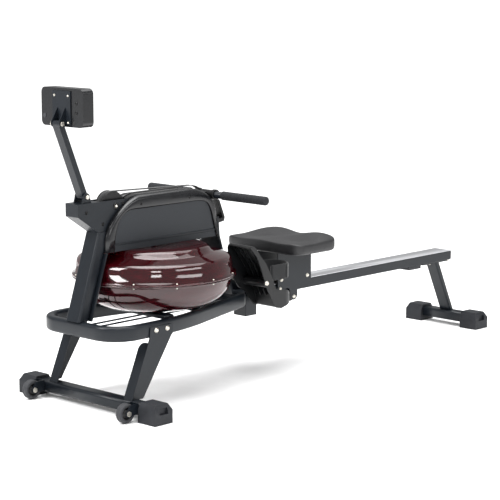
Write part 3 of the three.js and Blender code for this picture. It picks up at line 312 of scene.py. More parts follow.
for label, y in (("left", 20), ("right", -20)):
    rod = [(3 * math.cos(math.tau * i / 16), 3 * math.sin(math.tau * i / 16)) for i in range(16)]
    ends = (tray_low.x + tube_width - 3, nose_x + math.sqrt((nose_radius - tube_width) ** 2 - y * y) + 3)
    rod_rings = [[(x, y + u, 250 + v) for u, v in rod] for x in ends]
    piece(f"tie_rod_{label}", lofted(rod_rings), powder_coat, "frame")
for label, x in (("front", tray_low.x + 252), ("rear", tray_low.x + 402)):
    past = x + 20 - flare_x
    reach = tray_high.y - flare_radius + math.sqrt((flare_radius - tube_width) ** 2 - past**2) + 2
    rings = [[(x + u, y, 273.5 + v) for u, v in oblong(40, 12, 2.5, 3)] for y in (-reach, reach)]
    piece(f"crossbar_{label}", lofted(rings), powder_coat, "frame")

# ---- front legs ---------------------------------------------------------------------------------
# Bent sheet steel with a web facing forward, bolted to the tray's side with two hex socket screws
# and welded to the cross tube. The screws are zinc plated.
#
# Bright zinc plate: silvery with a faint straw cast, and fine turning swirls in its gloss.
zinc_plate, tree, shader, place = new_finish("bright_zinc_plate", Metallic=1.0)
swirl = add(tree, "ShaderNodeTexNoise", {"Vector": place, "Scale": 1000 / 3, "Detail": 3.0}).outputs["Fac"]
colour, rough = shader.inputs["Base Color"], shader.inputs["Roughness"]
mixed = {0: swirl, 6: linear("#c9c4b8"), 7: linear("#ece8de")}
add(tree, "ShaderNodeMix", mixed, {2: colour}, data_type="RGBA")
add(tree, "ShaderNodeMapRange", {"Value": swirl, "To Min": 0.26, "To Max": 0.42}, {"Result": rough})

for side in ("left", "right"):
    show("front_leg_" + side, powder_coat, 0.8, 2)


def turned(profile, axis="Y", steps=48, closed=True):
    """A profile of (radius, along) in millimetres, turned about an axis through the origin."""
    rings = []
    for k in range(steps):
        t = math.tau * k / steps
        ring = []
        for radius, along in profile:
            u, v = radius * math.cos(t), radius * math.sin(t)
            ring.append({"X": (along, u, v), "Y": (v, along, u), "Z": (u, v, along)}[axis])
        rings.append(ring)
    bm = lofted(rings, closed=closed, caps=False, joined=True)
    bmesh.ops.remove_doubles(bm, verts=bm.verts, dist=1e-6)
    bmesh.ops.dissolve_degenerate(bm, edges=bm.edges, dist=1e-7)
    return bm


facing_turn = {
    "-Y": Matrix.Rotation(math.radians(180), 4, "Z"),
    "+Y": Matrix.Identity(4),
    "-X": Matrix.Rotation(math.radians(90), 4, "Z"),
    "+X": Matrix.Rotation(math.radians(-90), 4, "Z"),
    "+Z": Matrix.Rotation(math.radians(90), 4, "X"),
    "-Z": Matrix.Rotation(math.radians(-90), 4, "X"),
}


def screw(name, spot, facing, radius, height, finish, body, washer=1.25, socket=0.5):
    """A domed screw head with a hex socket, on its washer; the spot is the face it sits on."""
    r, h = radius, height
    head = [(0, -0.4), (r * washer, -0.4), (r * washer, h * 0.16), (r * 1.02, h * 0.2), (r, h * 0.45)]
    head += [(r * 0.86, h * 0.8), (r * 0.62, h), (r * socket, h)]
    head += [(r * socket * 0.94, h * 0.42), (0, h * 0.38)]
    made = placed(turned(head, "Y", 24, closed=False), spot, facing_turn[facing])
    return piece(name, made, finish, body)


leg_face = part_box("front_leg_left")[1].y
for side, sign, facing in (("left", 1, "+Y"), ("right", -1, "-Y")):
    for label, x in (("front", -0.740), ("rear", -0.695)):
        screw(f"leg_screw_{label}_{side}", (x, sign * leg_face, 0.251), facing, 6.2, 5.0, zinc_plate, "frame")

# ---- transport wheels ---------------------------------------------------------------------------
# Grey rubber tyres are moulded round black nylon discs. Each wheel turns on a bolt through a bent
# steel fork at the ends of the front cross tube.
#
# Thermoplastic rubber: dull mid grey, with floor dust rubbed into its pores.
tyre_rubber, tree, shader, place = new_finish("thermoplastic_rubber", IOR=1.52, Specular_IOR_Level=0.3)
dust = add(tree, "ShaderNodeTexNoise", {"Vector": place, "Scale": 1000 / 6, "Detail": 4.0}).outputs["Fac"]
colour, rough, normal = (shader.inputs[k] for k in ("Base Color", "Roughness", "Normal"))
mixed = {0: dust, 6: linear("#26272a"), 7: linear("#3d3e41")}
add(tree, "ShaderNodeMix", mixed, {2: colour}, data_type="RGBA")
add(tree, "ShaderNodeMapRange", {"Value": dust, "To Min": 0.55, "To Max": 0.8}, {"Result": rough})
add(tree, "ShaderNodeBump", {"Height": dust, "Distance": 0.0001, "Strength": 0.3}, {"Normal": normal})

# Injection moulded nylon: black with a soft gloss and faint flow marks.
nylon, tree, shader, place = new_finish("moulded_nylon", IOR=1.53, Specular_IOR_Level=0.3)
flow = add(tree, "ShaderNodeTexNoise", {"Vector": place, "Scale": 1000 / 9, "Detail": 3.0}).outputs["Fac"]
colour, rough, normal = (shader.inputs[k] for k in ("Base Color", "Roughness", "Normal"))
mixed = {0: flow, 6: linear("#060607"), 7: linear("#0d0e10")}
add(tree, "ShaderNodeMix", mixed, {2: colour}, data_type="RGBA")
add(tree, "ShaderNodeMapRange", {"Value": flow, "To Min": 0.3, "To Max": 0.42}, {"Result": rough})
add(tree, "ShaderNodeBump", {"Height": flow, "Distance": 0.0001, "Strength": 0.15}, {"Normal": normal})

for side in ("left", "right"):
    show("wheel_bracket_" + side, powder_coat, 0.6, 2)
    show("wheel_axle_" + side, zinc_plate, 0.5, 2)
    low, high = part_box("transport_wheel_" + side)
    hub = (low + high) / 2
    wheel = "transport_wheel_" + side
    half = [(19.2, 10.4), (24.5, 11.0), (27.8, 10.2), (29.5, 7.6), (29.5, 1.2), (28.9, 0.9)]
    tyre_profile = half + [(r, -y) for r, y in half[::-1]]
    tyre = piece("tyre_" + side, placed(turned(tyre_profile, "Y", 64), hub), tyre_rubber, wheel)
    half = [(5.6, 10.8), (9, 10.8), (10, 8), (13, 5), (17, 7), (18.2, 10.4), (19.1, 10.4)]
    disc_profile = half + [(r, -y) for r, y in half[::-1]]
    piece("wheel_disc_" + side, placed(turned(disc_profile, "Y", 48), hub), nylon, wheel)
    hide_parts(wheel)

# ---- post and head ------------------------------------------------------------------------------
# A drawn steel tube with rolled corners, and a plate welded behind it, lean back to a folded steel
# head. Black oxide screws close the head, and bright bolts hold the pulley and the console's stem.
show("post", powder_coat, 0.5, 2)
show("head_shell", powder_coat, 1.6, 3)
show("stem_pin", zinc_plate, 0.5, 2)

# Black oxide on steel: almost black, oily, with a thin metallic gloss.
black_oxide, tree, shader, place = new_finish("black_oxide_steel", Metallic=0.6)
oil = add(tree, "ShaderNodeTexNoise", {"Vector": place, "Scale": 1000 / 2, "Detail": 3.0}).outputs["Fac"]
colour, rough = shader.inputs["Base Color"], shader.inputs["Roughness"]
mixed = {0: oil, 6: linear("#080809"), 7: linear("#121213")}
add(tree, "ShaderNodeMix", mixed, {2: colour}, data_type="RGBA")
add(tree, "ShaderNodeMapRange", {"Value": oil, "To Min": 0.3, "To Max": 0.45}, {"Result": rough})

head_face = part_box("head_shell")[1].y
pulley_low, pulley_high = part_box("guide_pulley")
pulley_hub = (pulley_low + pulley_high) / 2
for side, sign, facing in (("left", 1, "+Y"), ("right", -1, "-Y")):
    for label, x, z in (("front", -0.869, 0.601), ("low", -0.804, 0.561), ("rear", -0.723, 0.617)):
        screw(f"head_screw_{label}_{side}", (x, sign * head_face, z), facing, 4.6, 3.0, black_oxide, "frame")
    spot = (pulley_hub.x, sign * head_face, pulley_hub.z)
    screw(f"pulley_bolt_{side}", spot, facing, 4.4, 5.4, zinc_plate, "frame", washer=1.1)
    ring = [(5.2, -0.3), (10.5, -0.3), (10.5, 1.2), (9.4, 2.4), (6.2, 2.4), (5.2, 1.6)]
    ring_mesh = placed(turned(ring, "Y", 40), spot, facing_turn[facing])
    bush = piece(f"pulley_bush_{side}", ring_mesh, nylon, "frame")
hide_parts("pulley_axle")
head_half = 1000 * head_face
axle_profile = [(0, -head_half), (5.8, -head_half), (5.8, head_half), (0, head_half)]
piece("pulley_spindle", placed(turned(axle_profile, "Y", 24, closed=False), pulley_hub), zinc_plate, "frame")

# ---- guide pulley and pull strap ----------------------------------------------------------------
# A turned nylon sheave guides a flat strap from the drum, round under itself and back over the
# cover to the handle. The strap is woven polyester, 22 mm wide, with a rib across each pick.
show("guide_pulley", nylon, 1.0, 3)

# Woven polyester: charcoal ribs, drawn 1.6 mm apart so that they show, over a dull fuzzy ground.
webbing, tree, shader, place = new_finish(
    "woven_polyester", Roughness=0.8, Sheen_Weight=0.2, Specular_IOR_Level=0.2
)
fuzz = add(tree, "ShaderNodeTexNoise", {"Vector": place, "Scale": 1000 / 0.8, "Detail": 2.0}).outputs["Fac"]
weave = {"Vector": place, "Scale": 1000 / 1.6 / math.tau}
picks = add(tree, "ShaderNodeTexWave", weave, bands_direction="DIAGONAL").outputs["Fac"]
colour, normal = shader.inputs["Base Color"], shader.inputs["Normal"]
mixed = {0: fuzz, 6: linear("#08090a"), 7: linear("#161719")}
add(tree, "ShaderNodeMix", mixed, {2: colour}, data_type="RGBA")
add(tree, "ShaderNodeBump", {"Height": picks, "Distance": 0.0003, "Strength": 0.6}, {"Normal": normal})


def ribbon(route, thickness, width, across=(0, 1, 0)):
    """A flat band along a route of points in millimetres, with slightly thinned selvedges."""
    across = Vector(across)
    rings = []
    for i, spot in enumerate(route):
        before, after = route[max(i - 1, 0)], route[min(i + 1, len(route) - 1)]
        along = (Vector(after) - Vector(before)).normalized()
        up = along.cross(across).normalized() * (thickness / 2)
        side = across * (width / 2)
        middle = Vector(spot)
        ring = [middle + side * 0.93 + up, middle + side + up * 0.3, middle + side - up * 0.3]
        ring += [middle + side * 0.93 - up, middle - side * 0.93 - up, middle - side - up * 0.3]
        ring += [middle - side + up * 0.3, middle - side * 0.93 + up]
        rings.append(ring)
    return lofted(rings)


strap_low, strap_high = (1000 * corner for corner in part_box("strap_run"))
tail_low, tail_high = (1000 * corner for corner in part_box("strap_tail"))
hub_x, hub_z = 1000 * pulley_hub.x, 1000 * pulley_hub.z
wrap = strap_high.z - hub_z - 1
crest_z = tail_high.z - 1
pull_route = [(x, 0, hub_z - wrap) for x in (-617, -660, -710)]
pull_route += [
    (hub_x + wrap * math.cos(t), 0, hub_z + wrap * math.sin(t))
    for t in (-math.pi / 2 - math.pi * i / 20 for i in range(21))
]
run = strap_high.x - hub_x
pull_route += [(hub_x + run * s, 0, hub_z + wrap + (crest_z - hub_z - wrap) * s) for s in (0.25, 0.5, 0.75)]
drop = [i / 12 for i in range(13)]
tail = [(tail_low.x, crest_z), (tail_low.x + 40, crest_z), (tail_high.x, tail_low.z + 1)]
tail = [Vector(spot) for spot in tail]
for s in drop:
    spot = (1 - s) ** 2 * tail[0] + 2 * s * (1 - s) * tail[1] + s * s * tail[2]
    pull_route.append((spot.x, 0, spot.y))
pull_strap = piece("pull_strap", ribbon(pull_route, 2.0, 22.0), webbing, None)
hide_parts("strap_run", "strap_tail")
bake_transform(pull_strap)

# ---- cover --------------------------------------------------------------------------------------
# Two ABS mouldings, screwed together on the centre plane, hoop over the drive. Each has a glossy
# rolled rim round a flat grained side panel that lies a few millimetres lower.
#
# High gloss ABS: black, smooth and clear in its reflections, with a slight moulding ripple.
gloss_abs, tree, shader, place = new_finish("glossy_abs", IOR=1.54, Specular_IOR_Level=0.4)
sink = add(tree, "ShaderNodeTexNoise", {"Vector": place, "Scale": 1000 / 30, "Detail": 2.0}).outputs["Fac"]
colour, rough, normal = (shader.inputs[k] for k in ("Base Color", "Roughness", "Normal"))
mixed = {0: sink, 6: linear("#0c0d0f"), 7: linear("#131417")}
add(tree, "ShaderNodeMix", mixed, {2: colour}, data_type="RGBA")
add(tree, "ShaderNodeMapRange", {"Value": sink, "To Min": 0.2, "To Max": 0.3}, {"Result": rough})
add(tree, "ShaderNodeBump", {"Height": sink, "Distance": 0.0004, "Strength": 0.2}, {"Normal": normal})

# Grained ABS: slate grey, scattering light evenly off a fine leather-like tool texture.
grained_abs, tree, shader, place = new_finish("grained_abs", IOR=1.54, Specular_IOR_Level=0.35)
grit = add(tree, "ShaderNodeTexNoise", {"Vector": place, "Scale": 1000 / 1.2, "Detail": 3.0}).outputs["Fac"]
colour, rough, normal = (shader.inputs[k] for k in ("Base Color", "Roughness", "Normal"))
mixed = {0: grit, 6: linear("#1b1e22"), 7: linear("#24282d")}
add(tree, "ShaderNodeMix", mixed, {2: colour}, data_type="RGBA")
add(tree, "ShaderNodeMapRange", {"Value": grit, "To Min": 0.46, "To Max": 0.6}, {"Result": rough})
add(tree, "ShaderNodeBump", {"Height": grit, "Distance": 0.00008, "Strength": 0.5}, {"Normal": normal})

cover_low, cover_high = (1000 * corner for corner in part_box("cover_left"))
cover_front, cover_rear = cover_low.x, cover_high.x
cover_bottom, cover_crest = cover_low.z, cover_high.z


def bow(a, b, c, d, steps):
    """Points along a cubic curve from a to d, without its first point."""
    points = []
    for i in range(1, steps + 1):
        s = i / steps
        weights = ((1 - s) ** 3, 3 * s * (1 - s) ** 2, 3 * s * s * (1 - s), s**3)
        points.append(tuple(sum(w * p[k] for w, p in zip(weights, (a, b, c, d))) for k in (0, 1)))
    return points


def hoop(share):
    """The cover's side outline: share 0 is its edge, 1 is the edge of the side panel."""
    fore, top, aft, low = 34 * share, 42 * share, 34 * share, 9 * share
    foot, crest, back = (cover_front + 4 + fore, cover_bottom + 40), cover_crest - top, cover_rear - 8
    points = [(cover_front + fore, cover_bottom), foot]
    lean = (cover_front + 8 + 4 * share + fore, cover_bottom + 82 + 18 * share)
    brow = (cover_front + 70 - 20 * share + 0.7 * fore, crest - 15 * (1 - share))
    meet = cover_front + 142 - 30 * share
    points += bow(foot, lean, brow, (meet, crest), 14)
    points += [(meet + (cover_rear - 140 - meet) * i / 4, crest) for i in (1, 2, 3, 4)]
    shoulder = points[-1]
    heel = (back - 0.75 * aft, cover_bottom + 86)
    high, deep = (cover_rear - 52 - 0.4 * aft, crest), (cover_rear - 16 - aft, cover_bottom + 124)
    points += bow(shoulder, high, deep, heel, 14)
    points += [(cover_rear - low, cover_bottom)]
    return points


rim_steps = [(0, 0.4), (0, 24), (0, 29), (0.02, 34), (0.08, 39.6), (0.19, 44), (0.34, 45.9), (0.78, 45.9)]
rim_steps += [(0.9, 45.4), (0.96, 44.2), (1.0, 42.0), (1.0, 40.2)]
head_rear, head_side = 1000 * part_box("head_shell")[1].x, 1000 * head_face + 0.8


def under_head(spot):
    """Whether a spot on the cover is where the steel head passes through it."""
    return spot.x < head_rear + 1 and abs(spot.y) < head_side


for side, sign in (("left", 1), ("right", -1)):
    rings = [[(x, sign * y, z) for x, z in hoop(share)] for share, y in rim_steps]
    shell = lofted(rings, closed=False)
    inside_head = [f for f in shell.faces if under_head(1000 * f.calc_center_median())]
    bmesh.ops.delete(shell, geom=inside_head, context="FACES")
    rim = piece(f"cover_rim_{side}", shell, gloss_abs, "frame")
    wall = rim.modifiers.new("wall", "SOLIDIFY")
    wall.thickness = 0.0026
    wall.offset = -1.0
    panel = lofted([[(x, sign * y, z) for x, z in hoop(1.0)] for y in (40.4, 38.4)])
    piece(f"cover_panel_{side}", panel, grained_abs, "frame", smooth=False)
    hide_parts("cover_" + side)
    for label, x in (("front", cover_front + 142), ("rear", cover_front + 348)):
        spot = (x / 1000, sign * 0.0457, (cover_crest - 27) / 1000)
        screw(f"cover_screw_{label}_{side}", spot, "+Y" if sign > 0 else "-Y", 3.4, 1.6, black_oxide, "frame")
show("rear_strut", powder_coat, 1.5, 2)
show("handle_rest", nylon, 1.5, 2)
show("drive_bridge", powder_coat, 1.0, 2)

# ---- water tank ---------------------------------------------------------------------------------
# Two blow moulded polycarbonate shells, tinted wine red, clamp a gasket at a flange all round. Twelve
# pairs of pan head screws hold them. The water inside is dyed, and the impeller is black nylon.
#
# Tinted polycarbonate: clear deep red, glossy, with long soft waves from the moulding.
tank_shell, tree, shader, place = new_finish("tinted_polycarbonate", IOR=1.58, Transmission_Weight=0.82)
wave = add(tree, "ShaderNodeTexNoise", {"Vector": place, "Scale": 1000 / 70, "Detail": 1.0}).outputs["Fac"]
haze = add(tree, "ShaderNodeTexNoise", {"Vector": place, "Scale": 1000 / 12, "Detail": 3.0}).outputs["Fac"]
colour, rough, normal = (shader.inputs[k] for k in ("Base Color", "Roughness", "Normal"))
mixed = {0: wave, 6: linear("#4c0914"), 7: linear("#66101d")}
add(tree, "ShaderNodeMix", mixed, {2: colour}, data_type="RGBA")
add(tree, "ShaderNodeMapRange", {"Value": haze, "To Min": 0.02, "To Max": 0.1}, {"Result": rough})
add(tree, "ShaderNodeBump", {"Height": wave, "Distance": 0.0012, "Strength": 0.25}, {"Normal": normal})

# Dyed water: the colour of thin claret, perfectly clear.
dyed_water, tree, shader, place = new_finish("dyed_water", IOR=1.33, Roughness=0.0, Transmission_Weight=1.0)
eddy = add(tree, "ShaderNodeTexNoise", {"Vector": place, "Scale": 1000 / 70, "Detail": 2.0}).outputs["Fac"]
colour = shader.inputs["Base Color"]
mixed = {0: eddy, 6: linear("#a11c2c"), 7: linear("#b92c3a")}
add(tree, "ShaderNodeMix", mixed, {2: colour}, data_type="RGBA")
show("tank_lower", tank_shell)
show("tank_upper", tank_shell)
show("water", dyed_water)
show("tank_gasket", tank_shell)
show("filler_plug", nylon, 1.0, 2)
show("impeller", nylon, 0.8, 2)
show("strap_drum", nylon, 0.8, 2)

flange_low, flange_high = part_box("tank_gasket")
flange_middle = (flange_low + flange_high) / 2
flange_reach = flange_high.x - flange_middle.x - 0.0048
for i in range(12):
    t = math.radians(2.6 + 30 * i)
    spot = flange_middle + Vector((flange_reach * math.cos(t), flange_reach * math.sin(t), 0))
    for facing, lift in (("+Z", 0.0052), ("-Z", -0.0052)):
        name = f"flange_screw_{i}_{'upper' if lift > 0 else 'lower'}"
        seat_of_head = spot + Vector((0, 0, lift))
        screw(name, seat_of_head, facing, 2.6, 3.2, zinc_plate, "frame", washer=1.15, socket=0.4)

# ---- handle -------------------------------------------------------------------------------------
# A bent steel bar, powder coated, carries two foam grips and a nylon yoke with two collars. The
# strap ends in the yoke. At rest it lies in the hook behind the cover.
#
# Nitrile foam: closed cells, dull black going to grey where hands have polished it.
grip_foam, tree, shader, place = new_finish("nitrile_foam", Roughness=0.85, Specular_IOR_Level=0.3)
cells = add(tree, "ShaderNodeTexNoise", {"Vector": place, "Scale": 1000 / 1.6, "Detail": 4.0}).outputs["Fac"]
grime = add(tree, "ShaderNodeTexNoise", {"Vector": place, "Scale": 1000 / 35, "Detail": 2.0}).outputs["Fac"]
colour, normal = shader.inputs["Base Color"], shader.inputs["Normal"]
mixed = {0: grime, 6: linear("#17181a"), 7: linear("#242629")}
add(tree, "ShaderNodeMix", mixed, {2: colour}, data_type="RGBA")
add(tree, "ShaderNodeBump", {"Height": cells, "Distance": 0.0004, "Strength": 0.6}, {"Normal": normal})
show("handle_bar", powder_coat)
show("handle_yoke", nylon, 1.5, 3)
for side, sign in (("left", 1), ("right", -1)):
    low, high = (1000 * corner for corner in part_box("handle_grip_" + side))
    near, far = sorted((abs(low.y), abs(high.y)))
    grip_reach = (high.z - low.z) / 2
    profile = [(grip_reach - 2.6, near), (grip_reach - 0.6, near), (grip_reach, near + 1.2)]
    for i in range(12):
        y = near + 12 + (far - near - 30) * i / 11
        profile += [(grip_reach, y - 3), (grip_reach - 0.7, y - 1.6)]
        profile += [(grip_reach - 0.7, y + 1.6), (grip_reach, y + 3)]
    profile += [(grip_reach, far - 7), (grip_reach - 0.8, far - 3.4), (grip_reach - 3.6, far - 0.9)]
    profile += [(grip_reach - 8, far), (0, far)]
    spot = ((low.x + high.x) / 2000, 0, (low.z + high.z) / 2000)
    grip_mesh = turned([(r, sign * y) for r, y in profile], "Y", 40, closed=False)
    grip = piece(f"grip_{side}", placed(grip_mesh, spot), grip_foam, "handle")
    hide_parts("handle_grip_" + side)

# ---- console ------------------------------------------------------------------------------------
# A flat steel stem leans forward from the head to the display. The display is an ABS box with a
# steel mount screwed on its back, two lead sockets, a round rubber cap, and a screen facing the rower.
show("console_stem", powder_coat, 1.5, 2)
show("console_housing", gloss_abs, 3.5, 4)
show("console_mount", powder_coat, 0.8, 2)
show("tilt_pin", zinc_plate, 0.5, 2)
show("console_button", tyre_rubber, 0.8, 2)

box_low, box_high = (1000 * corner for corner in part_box("console_housing"))
box_mid = (box_low + box_high) / 2
back = box_low.x
mount_low, mount_high = (1000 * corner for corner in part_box("console_mount"))
for label, y, z in (("a", -30, 14), ("b", 30, 14), ("c", -30, 92), ("d", 30, 92)):
    spot = ((mount_high.x - 3.2) / 1000, y / 1000, (mount_low.z + z) / 1000)
    screw(f"mount_screw_{label}", spot, "-X", 2.6, 2.2, zinc_plate, "console")
for label, z in (("upper", box_mid.z + 14), ("lower", box_mid.z - 14)):
    ring = [(2.2, -1.0), (5.6, -1.0), (5.6, 1.2), (4.8, 1.9), (3.0, 1.9), (2.2, 1.0)]
    spot = (back / 1000, -0.062, z / 1000)
    piece(f"lead_socket_{label}", placed(turned(ring, "Y", 32), spot, facing_turn["-X"]), nylon, "console")
cap = [(0, -0.6), (6.5, -0.6), (6.5, 1.0), (5.4, 1.9), (0, 1.9)]
spot = (back / 1000, 0.078, (box_low.z + 29) / 1000)
piece("rear_cap", placed(turned(cap, "Y", 32, closed=False), spot, facing_turn["-X"]), tyre_rubber, "console")

# Liquid crystal under a clear window: grey green, glossy, with darker bars where figures form.
display, tree, shader, place = new_finish("liquid_crystal_window", IOR=1.5, Roughness=0.12, Coat_Weight=0.6)
film = add(tree, "ShaderNodeTexNoise", {"Vector": place, "Scale": 1000 / 40, "Detail": 1.0}).outputs["Fac"]
colour = shader.inputs["Base Color"]
mixed = {0: film, 6: linear("#5f6b60"), 7: linear("#6d796c")}
add(tree, "ShaderNodeMix", mixed, {2: colour}, data_type="RGBA")
ink, tree, shader, place = new_finish("liquid_crystal_figures", Roughness=0.3)
film = add(tree, "ShaderNodeTexNoise", {"Vector": place, "Scale": 1000 / 15, "Detail": 1.0}).outputs["Fac"]
colour = shader.inputs["Base Color"]
mixed = {0: film, 6: linear("#1f2620"), 7: linear("#2a322b")}
add(tree, "ShaderNodeMix", mixed, {2: colour}, data_type="RGBA")
show("console_screen", display)
screen_low, screen_high = (1000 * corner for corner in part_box("console_screen"))
screen_mid = (screen_low + screen_high) / 2
half_wide, half_tall = (screen_high.y - screen_low.y) / 2, (screen_high.z - screen_low.z) / 2
outer_edge = oblong(2 * half_wide + 12, 2 * half_tall + 12, 5)
inner_edge = oblong(2 * half_wide - 1, 2 * half_tall - 1, 2)
bezel_rings = []
for edge, x in ((outer_edge, -0.4), (outer_edge, 0.8), (inner_edge, 1.4), (inner_edge, -0.4)):
    bezel_rings.append([(screen_high.x + x, u, screen_mid.z + v) for u, v in edge])
piece("screen_bezel", lofted(bezel_rings, joined=True), gloss_abs, "console")
segments = {"top": (0, 1), "middle": (0, 0), "bottom": (0, -1), "up_left": (-1, 0.5), "up_right": (1, 0.5)}
segments |= {"low_left": (-1, -0.5), "low_right": (1, -0.5)}
figures = bmesh.new()
for row, (scale, count) in enumerate(((1.0, 4), (0.7, 6))):
    for k in range(count):
        middle_y = (k - (count - 1) / 2) * 22 * scale
        middle_z = screen_mid.z + (9 if row == 0 else -14)
        for u, v in segments.values():
            wide, tall = (7.0, 1.3) if u == 0 else (1.3, 7.0)
            y, z = middle_y + 5 * scale * u, middle_z + 9 * scale * v
            w, h = wide * scale / 2, tall * scale / 2
            corners = [(y - w, z - h), (y + w, z - h), (y + w, z + h), (y - w, z + h)]
            spots = [Vector((screen_high.x + 0.15, a, b)) / 1000 for a, b in corners]
            figures.faces.new([figures.verts.new(spot) for spot in spots])
piece("screen_figures", figures, ink, "console", smooth=False)

# ---- rail and rear leg --------------------------------------------------------------------------
# An oblong steel rail, capped with a brushed stainless strip for the rollers, is bolted to the tray's
# nose block at one end and welded to a leaning steel leg at the other.
#
# Brushed stainless: pale and silky, its fine scratches running along the rail.
satin_steel, tree, shader, place = new_finish("brushed_stainless", Metallic=1.0, Anisotropic=0.4)
along = add(tree, "ShaderNodeMapping", {"Vector": place, "Scale": (0.02, 1, 1)}).outputs["Vector"]
brush = add(tree, "ShaderNodeTexNoise", {"Vector": along, "Scale": 1000 / 1.2, "Detail": 3.0}).outputs["Fac"]
colour, rough = shader.inputs["Base Color"], shader.inputs["Roughness"]
mixed = {0: brush, 6: linear("#c2c3c6"), 7: linear("#dcdde0")}
add(tree, "ShaderNodeMix", mixed, {2: colour}, data_type="RGBA")
add(tree, "ShaderNodeMapRange", {"Value": brush, "To Min": 0.3, "To Max": 0.46}, {"Result": rough})
show("rail_block", powder_coat, 2.0, 3)
show("rail", powder_coat, 1.5, 3)
show("rail_cover", satin_steel, 0.4, 2)
show("rail_stop", tyre_rubber, 2.0, 2)
show("rear_leg", powder_coat, 0.8, 2)

rail_low, rail_high = (1000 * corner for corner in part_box("rail"))
rail_mid = (rail_low + rail_high) / 2
mouth = oblong(rail_high.y - rail_low.y - 5.5, rail_high.z - rail_low.z - 5.5, 1.5, 3)
lip = oblong(rail_high.y - rail_low.y - 0.4, rail_high.z - rail_low.z - 0.4, 3, 3)
cap_rings = []
for edge, x in ((mouth, -12), (mouth, 0.1), (lip, 0.1), (lip, 1.6), (mouth, 2.6)):
    cap_rings.append([(rail_high.x + x, u, rail_mid.z + v) for u, v in edge])
piece("rail_end_cap", lofted(cap_rings), nylon, "frame")
plate_x = (1000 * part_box("rail_stop")[1].x + 60) / 1000
for label, x, y in (("a", 0, 18), ("b", 0, -18), ("c", 0.11, 18), ("d", 0.11, -18)):
    spot = (plate_x + x, y / 1000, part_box("rear_leg")[1].z - 0.0056)
    screw(f"plate_screw_{label}", spot, "-Z", 5.0, 4.0, zinc_plate, "frame")

# ---- footrests ----------------------------------------------------------------------------------
# Two nylon footplates tilt on one steel axle held by a folded bracket. Each has ribs moulded under
# its tread, a ridged rubber pad on it, and a webbing strap closed by a hook and loop patch.
show("pedal_bracket", powder_coat, 0.8, 2)
axle_low, axle_high = (1000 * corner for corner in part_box("pedal_axle"))
axle_mid = (axle_low + axle_high) / 2
axle_reach = axle_high.y - 4
spindle = [(0, -axle_reach), (7.6, -axle_reach), (7.6, axle_reach), (0, axle_reach)]
spot = axle_mid / 1000
spindle_rod = placed(turned(spindle, "Y", 32, closed=False), spot)
pedal_spindle = piece("pedal_spindle", spindle_rod, zinc_plate, "frame")
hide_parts("pedal_axle")

# Hook and loop: a nylon pile of tiny hooks, dark slate, with a soft edge sheen.
hook_patch, tree, shader, place = new_finish("hook_and_loop", Roughness=0.95, Sheen_Weight=0.5)
pile = add(tree, "ShaderNodeTexVoronoi", {"Vector": place, "Scale": 1000 / 1.5}).outputs["Distance"]
colour, normal = shader.inputs["Base Color"], shader.inputs["Normal"]
mixed = {0: pile, 6: linear("#1a2026"), 7: linear("#0c0e11")}
add(tree, "ShaderNodeMix", mixed, {2: colour}, data_type="RGBA")
add(tree, "ShaderNodeBump", {"Height": pile, "Distance": 0.0004, "Strength": 0.7}, {"Normal": normal})

# The tread's side view, from the heel up over the toe, set out from the axle.
tread_line = [(67, -74), (37, -12), (24, 18), (-4, 64), (-29, 92), (-49, 117), (-64, 127), (-75, 123)]
tread_length = sum(math.dist(a, b) for a, b in zip(tread_line, tread_line[1:]))


def along_tread(share, lift):
    """A point on the tread, share 0 at the heel and 1 at the toe, lifted off its face."""
    to_go = share * tread_length
    for start, end in zip(tread_line, tread_line[1:]):
        length = math.dist(start, end)
        if to_go <= length:
            break
        to_go -= length
    run = (Vector(end) - Vector(start)) / length
    spot = Vector(start) + run * to_go + Vector((run.y, -run.x)) * lift
    return spot.x + axle_mid.x, spot.y + axle_mid.z


